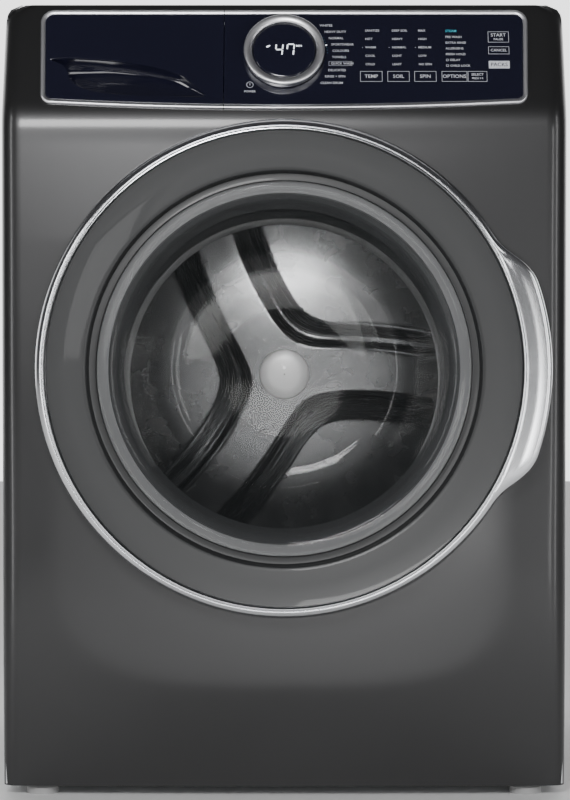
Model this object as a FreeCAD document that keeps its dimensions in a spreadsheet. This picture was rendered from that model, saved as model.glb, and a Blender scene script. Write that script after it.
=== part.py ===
"""Front load washing machine, as an assembly of separate pieces.

Origin at the middle of the floor under the machine, +X to its right, +Y to its back, +Z up, in
millimetres.  Every size is a cell of the spreadsheet "Sizes"; a place that follows from other
sizes is an expression on those cells, so a changed cell carries everything that fits to it.
"""
import FreeCAD, Part
import math
import os
import re
import Sketcher
from FreeCAD import Vector

doc = FreeCAD.newDocument("WashingMachine")

# ---------------------------------------------------------------------------------------------
# Sizes that are set by themselves: the name, the value in millimetres or degrees, what it is
# ---------------------------------------------------------------------------------------------
SIZES = {
    # cabinet
    "cabinet_wide": (686, "27 inch laundry cabinet"),
    "cabinet_high": (970, "floor to the top panel"),
    "overall_deep": (800, "front of the door to the tips of the inlet spouts"),
    "door_proud": (56, "how far the door stands in front of the front panel"),
    "spout_proud": (12, "how far the inlet spouts stand behind the rear panel"),
    "foot_gap": (12, "floor to the lower edge of the cabinet"),
    "steel": (1.5, "painted sheet of the cabinet"),
    "corner_round": (20, "rounding of the upright front corners"),
    "top_round": (19, "rounding of the long edges of the top"),
    "bend_high": (830, "floor to the line where the front panel leans back"),
    "lean": (25.5, "angle of the leaning control face from upright"),
    "return_deep": (70, "how far back the side returns of the front panel reach"),
    "top_skirt": (20, "depth of the folded sides of the top panel"),
    "door_high": (523, "floor to the middle of the door"),
    "opening_radius": (222, "round opening of the front panel"),
    "seat_gap": (0.3, "clearance between two pieces that seat on each other"),
    "move_gap": (1, "clearance round a piece that moves"),
    # base and feet
    "pan_high": (48, "height of the base pan"),
    "pan_lift": (2, "base pan floor above the lower edge of the cabinet"),
    "pan_wall": (3, "pressed steel of the base pan"),
    "pan_inset": (22, "base pan behind the face of the front panel"),
    "foot_radius": (20, "rubber pad of a levelling foot"),
    "foot_pad": (10, "height of the pad"),
    "foot_stem": (5, "radius of the threaded stem"),
    "foot_stem_long": (38, "length of the threaded stem"),
    "foot_inset": (45, "foot axis from the side of the cabinet"),
    "foot_back": (44, "foot axis from the front and the rear panel"),
    # door
    "ring_radius": (300, "outside of the bright door ring"),
    "ring_inner": (286, "inside of the bright door ring"),
    "ring_wall": (3, "plastic wall of the ring"),
    "ring_gap": (9, "back edge of the door in front of the front panel"),
    "grip_radius": (321.5, "outside of the grip, from the door's middle"),
    "grip_thick": (13, "front to back of the grip"),
    "grip_set": (3, "face of the grip behind the front of the door"),
    "grip_half": (18.5, "half of the angle that the full grip takes"),
    "grip_mid": (25.2, "angle where the grip's shoulder turns from round to hollow"),
    "grip_end": (33.5, "angle where the shoulder meets the ring"),
    "bezel_inner": (238, "inner edge of the flat dark bezel"),
    "groove_inner": (226, "inner edge of the groove beside the glass"),
    "bezel_wall": (3, "moulded wall of the bezel"),
    "bezel_sink": (8, "how far the bezel falls towards the glass"),
    "groove_deep": (14, "depth of the groove beside the glass"),
    "glass_wall": (5, "pressed glass of the bowl"),
    "glass_flange": (204, "where the flange of the glass turns into the bowl"),
    "bowl_neck": (168, "radius of the bowl in the mouth of the tub"),
    "bowl_end": (150, "radius of the bowl at its inner end"),
    "bowl_deep": (160, "front of the door to the inner end of the bowl"),
    "frame_wall": (4, "moulded back frame of the door"),
    # door hinge and catch
    "hinge_across": (281, "hinge axis left of the door's middle"),
    "hinge_out": (30, "hinge axis in front of the front panel"),
    "pin_radius": (4, "hinge pin"),
    "knuckle_radius": (7.5, "knuckle on the door's hinge arm"),
    "knuckle_half": (41, "half of the knuckle's length"),
    "web_thick": (5, "steel webs that hold the hinge pin"),
    "web_half": (45, "middle of a web above and below the door's middle"),
    "notch_half": (64, "half height of the clearance notch round the hinge"),
    "strike_across": (255, "door catch right of the door's middle"),
    "strike_wide": (6, "thickness of the catch"),
    "strike_long": (26, "how far the catch stands out of the door"),
    # tub, drum and drive
    "drum_high": (509, "floor to the drum axis"),
    "tub_radius": (306, "outside of the tub"),
    "tub_wall": (6, "moulded wall of the tub"),
    "tub_front_y": (-262, "front wall of the tub"),
    "tub_split_y": (-20, "joint between the two halves of the tub"),
    "tub_back_y": (248, "back wall of the tub"),
    "tub_mouth": (200, "inside of the mouth of the tub"),
    "mouth_lip": (18, "length of the lip round the mouth"),
    "tub_flange": (10, "bolting flange at the joint of the tub"),
    "tub_float": (10, "how far the hung tub rises or sinks"),
    "drum_gap": (16, "between the drum and the wall of the tub round it"),
    "drum_wall": (1.5, "stainless sheet of the drum"),
    "drum_mouth": (192, "opening of the drum"),
    "drum_front_y": (-250, "front of the drum"),
    "drum_back_y": (200, "back of the drum"),
    "lifter_high": (58, "how far a lifter stands in from the drum wall"),
    "lifter_wide": (74, "width of a lifter at the drum wall"),
    "lifter_long": (390, "length of a lifter"),
    "lifter_turn": (3, "angle of the first lifter"),
    "spider_deep": (30, "depth of the cast arms behind the drum"),
    "shaft_radius": (15, "drum shaft"),
    "bearing_radius": (31, "outside of the drum bearings"),
    "bearing_wide": (16, "width of a drum bearing"),
    "bearing_fit": (0.05, "radial running clearance of the drum shaft"),
    "hub_radius": (46, "outside of the bearing housing"),
    "hub_end_y": (290, "back end of the bearing housing"),
    "pulley_radius": (150, "drum pulley"),
    "pulley_y": (298, "front face of the drum pulley"),
    "pulley_wide": (22, "width of the pulleys"),
    "belt_thick": (4, "drive belt"),
    "belt_wide": (14, "width of the drive belt"),
    "motor_across": (110, "motor axis right of the middle"),
    "motor_high": (140, "floor to the motor axis"),
    "motor_radius": (65, "outside of the motor"),
    "motor_front_y": (120, "front of the motor"),
    "motor_back_y": (288, "back of the motor"),
    "rotor_radius": (40, "rotor of the motor"),
    "motor_shaft": (6, "radius of the motor shaft"),
    "motor_pulley": (12, "radius of the motor pulley"),
    # suspension
    "spring_inset": (38, "spring axis from the side of the cabinet"),
    "spring_radius": (12, "outside of a hanging spring"),
    "rail_low": (900, "floor to the rails that carry the springs"),
    "rail_high": (25, "height of a rail"),
    "lug_high": (636, "floor to the spring lugs of the tub"),
    "damper_across": (215, "dampers from the middle"),
    "damper_front_y": (-150, "front pair of dampers"),
    "damper_back_y": (110, "back pair of dampers"),
    "damper_radius": (14, "outside of a damper"),
    "damper_high": (150, "length of a damper cylinder"),
    "rod_radius": (6, "damper rod"),
    "weight_deep": (44, "front counterweights, front to back"),
    "weight_inner": (226, "inner radius of the front counterweights"),
    "weight_angle": (126, "degrees that a front counterweight covers"),
    # controls
    "console_low": (7.3, "up the leaning face to the lowest point of the console"),
    "console_side_low": (15.5, "up the leaning face to the lower corners of the console"),
    "console_top": (147, "up the leaning face to the top of the console"),
    "console_half": (299.5, "half width of the console at its top"),
    "console_foot": (296.5, "half width of the console at its bottom"),
    "trim_wide": (6, "bright trim round the console"),
    "trim_proud": (5, "how far the trim stands out"),
    "fascia_thick": (3.5, "glossy fascia"),
    "split_across": (73.7, "joint between drawer front and fascia, left of the middle"),
    "split_gap": (0.8, "gap between drawer front and fascia"),
    "knob_up": (84.3, "up the leaning face to the knob axis"),
    "knob_radius": (49.6, "outside of the knob ring"),
    "knob_inner": (39, "inside of the knob ring"),
    "knob_proud": (17, "how far the knob ring stands out"),
    "lens_proud": (14, "how far the display in the knob stands out"),
    "knob_fit": (0.5, "radial clearance between knob ring and display"),
    # detergent drawer
    "tray_right": (88, "right side of the drawer tray, left of the middle"),
    "tray_left": (290, "left side of the drawer tray, left of the middle"),
    "tray_low": (860, "floor to the bottom of the tray"),
    "tray_high": (62, "height of the tray"),
    "tray_front_y": (-296, "front of the tray"),
    "tray_long": (256, "length of the tray"),
    "tray_wall": (2.5, "moulded wall of the tray"),
    "housing_wall": (2.5, "moulded wall of the dispenser housing"),
    "housing_front_y": (-283, "front of the dispenser housing"),
    # water
    "spout_radius": (13.3, "three quarter inch hose thread of the inlets"),
    "spout_long": (12, "thread length of the inlets"),
    "valve_right": (50, "cold inlet from the right side of the cabinet"),
    "valve_pitch": (50, "distance between the two inlets"),
    "valve_high": (925, "floor to the inlets"),
    "valve_radius": (18, "body of an inlet valve"),
    "hose_radius": (9, "fill hose"),
    "sump_radius": (16, "sump hose"),
    "drain_radius": (11, "drain hose"),
    "pump_across": (150, "pump axis right of the middle"),
    "pump_high": (100, "floor to the pump axis"),
    "pump_y": (-205, "middle of the pump chamber"),
    "pump_radius": (36, "outside of the pump chamber"),
    "impeller_radius": (27, "pump impeller"),
}

# Places that follow from the sizes
PLACES = {
    "half_wide": "cabinet_wide / 2",
    "front_y": "door_proud - overall_deep / 2",
    "rear_y": "overall_deep / 2 - spout_proud",
    "door_y": "0 - overall_deep / 2",
    "return_y": "front_y + return_deep",
    "pan_floor": "foot_gap + pan_lift",
    "pan_top": "pan_floor + pan_high",
    "ring_back_y": "front_y - ring_gap",
    "frame_y": "ring_back_y - frame_wall",
    "glass_y": "door_y + 26",
    "hinge_y": "front_y - hinge_out",
    "tub_inner": "tub_radius - tub_wall",
    "spring_x": "half_wide - spring_inset",
    "drum_radius": "tub_radius - tub_wall - drum_gap",
    "drum_inner": "drum_radius - drum_wall",
    "valve_cold_x": "half_wide - valve_right",
    "valve_hot_x": "half_wide - valve_right - valve_pitch",
    "shaft_end_y": "pulley_y + pulley_wide + 10",
}

sheet = doc.addObject("Spreadsheet::Sheet", "Sizes")
for row, (name, (size, note)) in enumerate(SIZES.items(), start=1):
    sheet.set(f"A{row}", name)
    sheet.set(f"B{row}", str(size))
    sheet.setAlias(f"B{row}", name)
    sheet.set(f"C{row}", note)
doc.recompute()


# ---------------------------------------------------------------------------------------------
# Drawing helpers
# ---------------------------------------------------------------------------------------------
def bound(text):
    """An expression on plain names, with places opened out and every size behind its sheet."""
    def swap(match):
        word = match.group(0)
        if word in PLACES:
            return f"({bound(PLACES[word])})"
        return f"Sizes.{word}" if word in SIZES else word
    return re.sub(r"[a-z]+(?:_[a-z]+)*", swap, str(text))


def value(text):
    """The number that an expression stands for."""
    return float(sheet.evalExpression(bound(text)))


def point(x, y, z):
    """A vector from three expressions."""
    return Vector(value(x), value(y), value(z))


def place(item, x="0", y="0", z="0", axis=(1, 0, 0), turn="0"):
    """Bind an object's Placement: a place, and a turn about one axis."""
    where = "; ".join(bound(term) for term in (x, y, z))
    about = "; ".join(str(term) for term in axis)
    item.setExpression("Placement", f"placement(vector({where}); rotation(vector({about}); {bound(turn)}))")
    return item


def hold(sketch, kind, index, end, text):
    """Fix one coordinate of a sketch point to an expression."""
    row = sketch.addConstraint(Sketcher.Constraint(kind, -1, 1, index, end, value(text)))
    sketch.setExpression(f"Constraints[{row}]", bound(text))


def hold_point(sketch, index, end, x, y):
    hold(sketch, "DistanceX", index, end, x)
    hold(sketch, "DistanceY", index, end, y)


def drawn_arc(first, middle, last):
    """The arc through three points, counterclockwise as a sketch wants it, and whether it starts at the first."""
    centre = Part.Arc(first, middle, last).toShape().Curve.Center
    circle = Part.Circle(centre, Vector(0, 0, 1), (first - centre).Length)
    forward = (middle - first).cross(last - middle).z > 0
    start, end = (first, last) if forward else (last, first)
    angles = [math.atan2(item.y - centre.y, item.x - centre.x) for item in (start, end)]
    if angles[1] < angles[0]:
        angles[1] += 2 * math.pi
    return Part.ArcOfCircle(circle, *angles), forward


def draw_outline(sketch, outline):
    """A closed outline of corners (x, y); a point (x, y, "via") makes its stretch an arc."""
    corners = [item for item in outline if len(item) == 2]
    edges = []
    for number, start in enumerate(corners):
        end = corners[(number + 1) % len(corners)]
        after = outline[(outline.index(start) + 1) % len(outline)]
        first = Vector(value(start[0]), value(start[1]), 0)
        last = Vector(value(end[0]), value(end[1]), 0)
        if len(after) == 2:
            index = sketch.addGeometry(Part.LineSegment(first, last), False)
            edges.append((index, 1, 2))
            continue
        middle = Vector(value(after[0]), value(after[1]), 0)
        arc, forward = drawn_arc(first, middle, last)
        index = sketch.addGeometry(arc, False)
        edges.append((index, 1, 2) if forward else (index, 2, 1))
        mark = sketch.addGeometry(Part.Point(middle), True)
        hold_point(sketch, mark, 1, after[0], after[1])
        sketch.addConstraint(Sketcher.Constraint("PointOnObject", mark, 1, index))
    for number, (index, _, end) in enumerate(edges):
        following, start, _ = edges[(number + 1) % len(edges)]
        sketch.addConstraint(Sketcher.Constraint("Coincident", index, end, following, start))
    for (index, start, _), corner in zip(edges, corners):
        hold_point(sketch, index, start, corner[0], corner[1])


def draw_circle(sketch, x, y, radius):
    circle = Part.Circle(Vector(value(x), value(y), 0), Vector(0, 0, 1), value(radius))
    index = sketch.addGeometry(circle, False)
    hold_point(sketch, index, 3, x, y)
    row = sketch.addConstraint(Sketcher.Constraint("Radius", index, value(radius)))
    sketch.setExpression(f"Constraints[{row}]", bound(radius))


def draw(body, plane, *outlines):
    """A sketch on an origin plane of the body: outlines as corner lists, circles as (x, y, radius)."""
    sketch = body.newObject("Sketcher::SketchObject", body.Name + "Sketch")
    support = [item for item in body.Origin.OriginFeatures if item.Role == plane][0]
    sketch.AttachmentSupport = (support, [""])
    sketch.MapMode = "FlatFace"
    for outline in outlines:
        if isinstance(outline, tuple):
            draw_circle(sketch, *outline)
        else:
            draw_outline(sketch, outline)
    return sketch


def new_body(name):
    return doc.addObject("PartDesign::Body", name)


def turned(name, section, x="0", y="0", z="0", axis=(1, 0, 0), turn="0", angle="360"):
    """A body of revolution about its own Y axis; the section's corners are (along Y, radius)."""
    body = place(new_body(name), x, y, z, axis, turn)
    spin = body.newObject("PartDesign::Revolution", name + "Turn")
    spin.Profile = draw(body, "YZ_Plane", section)
    spin.ReferenceAxis = (spin.Profile[0], ["H_Axis"])
    spin.setExpression("Angle", bound(angle))
    return body


PAD_AXES = {"XY_Plane": (0, 0, 1), "XZ_Plane": (0, -1, 0), "YZ_Plane": (1, 0, 0)}


def padded(name, plane, length, *outlines, x="0", y="0", z="0", axis=(1, 0, 0), turn="0", both=False):
    """A flat outline given a thickness: up from XY, to the front from XZ, to the right from YZ."""
    body = place(new_body(name), x, y, z, axis, turn)
    pad = body.newObject("PartDesign::Pad", name + "Pad")
    pad.Profile = draw(body, plane, *outlines)
    pad.setExpression("Length", bound(length))
    pad.SideType = "Symmetric" if both else "One side"
    return body


def rectangle(x0, x1, y0, y1):
    return [(x0, y0), (x1, y0), (x1, y1), (x0, y1)]


def box(name, x0, x1, y0, y1, z0, z1):
    """A Part box between two corners."""
    item = doc.addObject("Part::Box", name)
    item.setExpression("Length", bound(f"({x1}) - ({x0})"))
    item.setExpression("Width", bound(f"({y1}) - ({y0})"))
    item.setExpression("Height", bound(f"({z1}) - ({z0})"))
    return place(item, x0, y0, z0)


ALONG = {"x": ((0, 1, 0), "90"), "y": ((1, 0, 0), "0 - 90"), "z": ((0, 0, 1), "0")}


def rod(name, along, radius, length, x, y, z):
    """A Part cylinder that starts at a place and runs along +X, +Y or +Z."""
    item = doc.addObject("Part::Cylinder", name)
    item.setExpression("Radius", bound(radius))
    item.setExpression("Height", bound(length))
    axis, turn = ALONG[along]
    return place(item, x, y, z, axis, turn)


def fused(name, *items):
    item = doc.addObject("Part::MultiFuse", name)
    item.Shapes = list(items)
    item.Refine = True
    return item


def cut(name, base, *tools):
    """The base with the tools taken away, one Part::Cut after another."""
    for number, tool in enumerate(tools, start=1):
        last = number == len(tools)
        item = doc.addObject("Part::Cut", name if last else f"{name}Cut{number}")
        item.Base = base
        item.Tool = tool
        base = item
    return base


def group(name, items):
    """Alike loose pieces that share one node."""
    item = doc.addObject("Part::Compound", name)
    item.Links = list(items)
    return item


def route(bends):
    """Straight runs joined by tangent arcs, each arc as large as its two runs allow."""
    points = [point(*bend) for bend in bends]
    edges = []
    start = points[0]
    for before, corner, after in zip(points, points[1:], points[2:]):
        to_before = (before - corner).normalize()
        to_after = (after - corner).normalize()
        half = to_before.getAngle(to_after) / 2
        reach = 0.45 * min((before - corner).Length, (after - corner).Length)
        toward = (to_before + to_after).normalize()
        middle = corner + toward * (reach / math.cos(half) - reach * math.tan(half))
        end = corner + to_after * reach
        edges.append(Part.LineSegment(start, corner + to_before * reach).toShape())
        edges.append(Part.Arc(corner + to_before * reach, middle, end).toShape())
        start = end
    edges.append(Part.LineSegment(start, points[-1]).toShape())
    return Part.Wire(edges)


def hose(name, radius, bends):
    """A hose or a bent rod: a round section swept along its route."""
    spine = route(bends)
    start = spine.OrderedEdges[0]
    ring = Part.Circle(start.valueAt(start.FirstParameter), start.tangentAt(start.FirstParameter),
        value(radius))
    item = doc.addObject("Part::Feature", name)
    item.Shape = spine.makePipeShell([Part.Wire(ring.toShape())], True, False)
    return item


SUBPARTS = []


def keep(item, label):
    """Name a finished piece; it becomes a node of that name."""
    item.Label = label
    SUBPARTS.append(item)
    return item


# ---------------------------------------------------------------------------------------------
# Cabinet: painted sheet steel
# ---------------------------------------------------------------------------------------------
LEAN_BACK = {"y": "front_y", "z": "bend_high", "turn": "0 - lean"}


def front_form(name, inset, low):
    """The block that the front panel wraps: upright to the bend, then leaning, with round corners."""
    half = f"half_wide - {inset}"
    front = f"front_y + {inset}"
    bend = f"bend_high + {inset} * tan(lean / 2)"
    side = padded(
        name + "Side", "YZ_Plane", "2 * half_wide",
        [(front, low), ("return_y", low), ("return_y", f"cabinet_high - {inset}"),
         (f"{front} + (cabinet_high - {inset} - {bend}) * tan(lean)", f"cabinet_high - {inset}"),
         (front, bend)],
        both=True)
    round_top = f"top_round - {inset}"
    top = f"cabinet_high - {inset}"
    nook = f"({round_top}) * (1 - cos(45))"
    face = padded(
        name + "Face", "XZ_Plane", "overall_deep",
        [(f"0 - ({half})", low), (half, low), (half, f"{top} - ({round_top})"),
         (f"{half} - {nook}", f"{top} - {nook}", "via"), (f"{half} - ({round_top})", top),
         (f"0 - ({half}) + {round_top}", top), (f"0 - ({half}) + {nook}", f"{top} - {nook}", "via"),
         (f"0 - ({half})", f"{top} - ({round_top})")],
        both=True)
    round_side = f"corner_round - {inset}"
    dent = f"({round_side}) * (1 - cos(45))"
    plan = padded(
        name + "Plan", "XY_Plane", "cabinet_high",
        [(f"0 - ({half})", f"{front} + {round_side}"),
         (f"0 - ({half}) + {dent}", f"{front} + {dent}", "via"),
         (f"0 - ({half}) + {round_side}", front), (f"{half} - ({round_side})", front),
         (f"{half} - {dent}", f"{front} + {dent}", "via"), (half, f"{front} + {round_side}"),
         (half, "return_y"), (f"0 - ({half})", "return_y")])
    first = doc.addObject("Part::Common", name + "Rounded")
    first.Base = side
    first.Tool = face
    both = doc.addObject("Part::Common", name)
    both.Base = first
    both.Tool = plan
    return both


# The front panel: one pressed sheet with side returns, the door opening, the console opening,
# the catch slot and the two hinge screw seats
console_hole = padded(
    "ConsoleHole", "XZ_Plane", "60",
    rectangle("0 - tray_left - 4", "console_foot - trim_wide - 4", "console_side_low + 8",
    "console_top - trim_wide"),
    both=True, **LEAN_BACK)
door_hole = rod("DoorHole", "y", "opening_radius", "60", "0", "front_y - 30", "door_high")
catch_hole = box(
    "CatchHole", "strike_across - strike_wide - 3", "strike_across + strike_wide + 3",
    "front_y - 10", "front_y + 10", "door_high - 14", "door_high + 14")
panel_shell = cut("FrontShell", front_form("FrontOuter", "0", "foot_gap"),
                  front_form("FrontInner", "steel", "foot_gap - 10"))
keep(cut("FrontPanel", panel_shell, console_hole, door_hole, catch_hole), "front_panel")

for side_name, sign in (("left", "0 - "), ("right", "")):
    outer = f"{sign}half_wide"
    inner = f"{sign}(half_wide - steel)"
    lip = f"{sign}(half_wide - 24)"
    keep(padded(
        f"Side{side_name.title()}", "XY_Plane", "cabinet_high - top_skirt - foot_gap",
        [(outer, "return_y"), (outer, "rear_y"), (lip, "rear_y"), (lip, "rear_y - steel"),
         (inner, "rear_y - steel"), (inner, "return_y")],
        z="foot_gap"), f"side_panel_{side_name}")

top_edge = "cabinet_high - top_skirt"
nook = "top_round * (1 - cos(45))"
inner_nook = "(top_round - steel) * (1 - cos(45))"
keep(padded(
    "TopPanel", "XZ_Plane", "rear_y - return_y",
    [("0 - half_wide", top_edge), ("steel - half_wide", top_edge),
    ("steel - half_wide", "cabinet_high - top_round"),
     (f"steel - half_wide + {inner_nook}", f"cabinet_high - steel - {inner_nook}", "via"),
     ("top_round - half_wide", "cabinet_high - steel"), ("half_wide - top_round", "cabinet_high - steel"),
     (f"half_wide - steel - {inner_nook}", f"cabinet_high - steel - {inner_nook}", "via"),
     ("half_wide - steel", "cabinet_high - top_round"), ("half_wide - steel", top_edge),
     ("half_wide", top_edge),
     ("half_wide", "cabinet_high - top_round"), (f"half_wide - {nook}", f"cabinet_high - {nook}", "via"),
     ("half_wide - top_round", "cabinet_high"), ("top_round - half_wide", "cabinet_high"),
     (f"{nook} - half_wide", f"cabinet_high - {nook}", "via"),
     ("0 - half_wide", "cabinet_high - top_round")],
    y="rear_y"), "top_panel")

# The rear panel stands between the two side lips, with a service opening under a screwed cover
rear_half = "half_wide - 24"
SHIPPING_BOLTS = [(f"{sign}200", high) for sign in ("", "0 - ") for high in ("drum_high - 105",
    "drum_high + 125")]
rear_sheet = padded(
    "RearSheet", "XZ_Plane", "steel",
    rectangle(f"0 - ({rear_half})", rear_half, "foot_gap + 4", "cabinet_high - steel"),
    rectangle("0 - 165", "165", "drum_high - 195", "drum_high + 90"),
    *[(across, high, "11") for across, high in SHIPPING_BOLTS],
    ("valve_cold_x", "valve_high", "spout_radius + 3"), ("valve_hot_x", "valve_high", "spout_radius + 3"),
    ("0 - half_wide + 70", "valve_high - 25", "drain_radius + 4"),
    ("0 - half_wide + 120", "valve_high - 10", "9"),
    y="rear_y")
keep(rear_sheet, "rear_panel")
keep(padded(
    "AccessCover", "XZ_Plane", "steel", rectangle("0 - 175", "175", "drum_high - 205", "drum_high + 100"),
    y="rear_y + steel"), "rear_access_cover")

# ---------------------------------------------------------------------------------------------
# Base pan, levelling feet and upper rails
# ---------------------------------------------------------------------------------------------
foot_x = "half_wide - foot_inset"
FEET = {
    "front_left": (f"0 - ({foot_x})", "front_y + foot_back"),
    "front_right": (foot_x, "front_y + foot_back"),
    "back_left": (f"0 - ({foot_x})", "rear_y - foot_back"),
    "back_right": (foot_x, "rear_y - foot_back"),
}
pan_half = "half_wide - steel"
pan_block = box("PanBlock", f"0 - ({pan_half})", pan_half, "front_y + pan_inset", "rear_y - steel",
    "pan_floor", "pan_top")
pan_void = box(
    "PanVoid", f"pan_wall - ({pan_half})", f"{pan_half} - pan_wall", "front_y + pan_inset + pan_wall",
    "rear_y - steel - pan_wall", "pan_floor + pan_wall", "pan_top + 1")
foot_holes = [rod(f"FootHole{number}", "z", "foot_stem + 0.4", "20", x, y, "pan_floor - 8")
              for number, (x, y) in enumerate(FEET.values())]
keep(cut("BasePan", pan_block, pan_void, *foot_holes), "base_pan")

for foot_name, (x, y) in FEET.items():
    keep(turned(
        "Foot" + foot_name.title().replace("_", ""),
        [("0", "0"), ("0", "foot_radius"), ("foot_pad - 2", "foot_radius"), ("foot_pad", "foot_radius - 3"),
         ("foot_pad", "foot_stem"), ("foot_pad + foot_stem_long", "foot_stem"),
         ("foot_pad + foot_stem_long", "0")],
        x=x, y=y, turn="90"), f"foot_{foot_name}")

rails = []
for side_name, sign in (("left", "0 - "), ("right", "")):
    rail_in = f"{sign}(spring_x - spring_radius + 5)"
    rail_out = f"{sign}(half_wide - steel)"
    web = f"{sign}(half_wide - steel - 3)"
    rails.append(padded(
        f"Rail{side_name.title()}", "XZ_Plane", "rear_y - steel - return_y - 2",
        [(rail_out, "rail_low"), (rail_out, "rail_low + rail_high"), (web, "rail_low + rail_high"),
         (web, "rail_low + 3"), (rail_in, "rail_low + 3"), (rail_in, "rail_low")],
        y="rear_y - steel"))
keep(group("Rails", rails), "spring_rails")

braces = [box("Brace" + brace_name, "steel - half_wide", "half_wide - steel", y0, f"{y0} + 26",
              "cabinet_high - top_skirt - 2", "cabinet_high - top_skirt + 1")
          for brace_name, y0 in (("Front", "return_y + 4"), ("Back", "rear_y - 60"))]
keep(group("Braces", braces), "top_braces")

# ---------------------------------------------------------------------------------------------
# Door: bright ring with its grip, dark bezel, glass bowl, back frame, hinge and catch
# ---------------------------------------------------------------------------------------------
ring_shell = turned(
    "RingShell",
    [("door_y + 2", "ring_inner"), ("door_y", "ring_inner + 1.5"), ("door_y", "ring_inner + 5"),
     ("door_y + 9", "ring_radius - 2.5"), ("door_y + 22", "ring_radius"), ("ring_back_y", "ring_radius"),
     ("ring_back_y", "ring_radius - ring_wall"), ("door_y + 22", "ring_radius - ring_wall"),
     ("door_y + 10", "ring_radius - ring_wall - 3"), ("door_y + 5", "ring_inner + 3"),
     ("door_y + 5", "ring_inner")],
    z="door_high")


def polar(radius, angle):
    return (f"({radius}) * cos({angle})", f"({radius}) * sin({angle})")


grip_mid_radius = "(grip_radius + ring_radius) / 2 - 0.8"
grip_upper_hollow = polar("(grip_radius + ring_radius) / 2 - 7.2", "grip_mid + 3.8")
grip_upper_round = polar("grip_radius - 4.4", "grip_mid - 3.2")
grip_lower_hollow = polar("(grip_radius + ring_radius) / 2 - 7.2", "0 - grip_mid - 3.8")
grip_lower_round = polar("grip_radius - 4.4", "0 - grip_mid + 3.2")
grip_block = padded(
    "GripBlock", "XZ_Plane", "grip_thick",
    [polar("grip_radius", "0 - grip_half"), (*polar("grip_radius", "0"), "via"),
    polar("grip_radius", "grip_half"),
     (*grip_upper_round, "via"), polar(grip_mid_radius, "grip_mid"), (*grip_upper_hollow, "via"),
     polar("ring_radius - 1", "grip_end"), polar("ring_inner + 8", "grip_end"),
     (*polar("ring_inner + 8", "0"), "via"), polar("ring_inner + 8", "0 - grip_end"),
     polar("ring_radius - 1", "0 - grip_end"), (*grip_lower_hollow, "via"),
     polar(grip_mid_radius, "0 - grip_mid"), (*grip_lower_round, "via")],
    y="door_y + grip_set + grip_thick", z="door_high")
hinge_notch = box(
    "HingeNotch", "0 - ring_radius - 5", "0 - hinge_across + 26", "door_y + 15", "front_y",
    "door_high - notch_half", "door_high + notch_half")
keep(cut("DoorRing", fused("RingWithGrip", ring_shell, grip_block), hinge_notch), "door_ring")

bezel_y = "(door_y + 4)"
keep(turned(
    "DoorBezel",
    [(bezel_y, "ring_inner - seat_gap"), (f"{bezel_y} + bezel_sink", "bezel_inner"),
     (f"{bezel_y} + bezel_sink + groove_deep", "bezel_inner - 2"),
     (f"{bezel_y} + bezel_sink + groove_deep", "groove_inner"),
     (f"{bezel_y} + bezel_sink + groove_deep + bezel_wall", "groove_inner"),
     (f"{bezel_y} + bezel_sink + groove_deep + bezel_wall", "bezel_inner + 1"),
     (f"{bezel_y} + bezel_sink + bezel_wall", "bezel_inner + 3"),
     (f"{bezel_y} + bezel_wall", "ring_inner - seat_gap")],
    z="door_high"), "door_bezel")

keep(turned(
    "DoorGlass",
    [("glass_y", "groove_inner - seat_gap"), ("glass_y", "glass_flange"),
    ("door_y + 50", "glass_flange - 8"),
     ("door_y + 115", "bowl_neck"), ("door_y + bowl_deep - 10", "bowl_end"),
     ("door_y + bowl_deep", "bowl_end - 12"),
     ("door_y + bowl_deep", "0"), ("door_y + bowl_deep - glass_wall", "0"),
     ("door_y + bowl_deep - glass_wall", "bowl_end - 14"), ("door_y + bowl_deep - 13",
     "bowl_end - glass_wall"),
     ("door_y + 114", "bowl_neck - glass_wall"), ("door_y + 49", "glass_flange - 13"),
     ("glass_y - 6", "glass_flange - 2"), ("glass_y - 6", "groove_inner - seat_gap")],
    z="door_high"), "door_glass")

frame_plate = turned(
    "FramePlate",
    [("frame_y", "ring_radius - ring_wall - seat_gap"), ("ring_back_y",
    "ring_radius - ring_wall - seat_gap"),
     ("ring_back_y", "groove_inner - 14"), ("glass_y + seat_gap", "groove_inner - 14"),
     ("glass_y + seat_gap", "groove_inner - 0.5"), ("glass_y + 4", "groove_inner - 0.5"),
     ("glass_y + 4", "bezel_inner - 2"), ("frame_y", "bezel_inner + 6")],
    z="door_high")
frame_pocket = box(
    "FramePocket", "0 - ring_radius", "0 - hinge_across + 26", "front_y - 40", "front_y",
    "door_high - notch_half", "door_high + notch_half")
keep(cut("DoorFrame", frame_plate, frame_pocket), "door_back_frame")
keep(box("DoorCatch", "strike_across - strike_wide / 2", "strike_across + strike_wide / 2", "ring_back_y",
         "ring_back_y + strike_long", "door_high - 7", "door_high + 7"), "door_catch")

knuckle = rod("Knuckle", "z", "knuckle_radius", "2 * knuckle_half", "0 - hinge_across", "hinge_y",
    "door_high - knuckle_half")
arm = box("HingeArm", "0 - hinge_across", "0 - hinge_across + 32", "hinge_y + 3", "hinge_y + 7",
          "door_high - knuckle_half", "door_high + knuckle_half")
arm_foot = box("HingeArmFoot", "0 - hinge_across + 27", "0 - hinge_across + 32", "hinge_y + 3", "frame_y",
               "door_high - knuckle_half", "door_high + knuckle_half")
arm_bore = rod("ArmBore", "z", "pin_radius + bearing_fit", "4 * knuckle_half", "0 - hinge_across",
    "hinge_y",
               "door_high - 2 * knuckle_half")
keep(cut("DoorArm", fused("DoorArmSolid", knuckle, arm, arm_foot), arm_bore), "door_hinge_arm")

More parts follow.
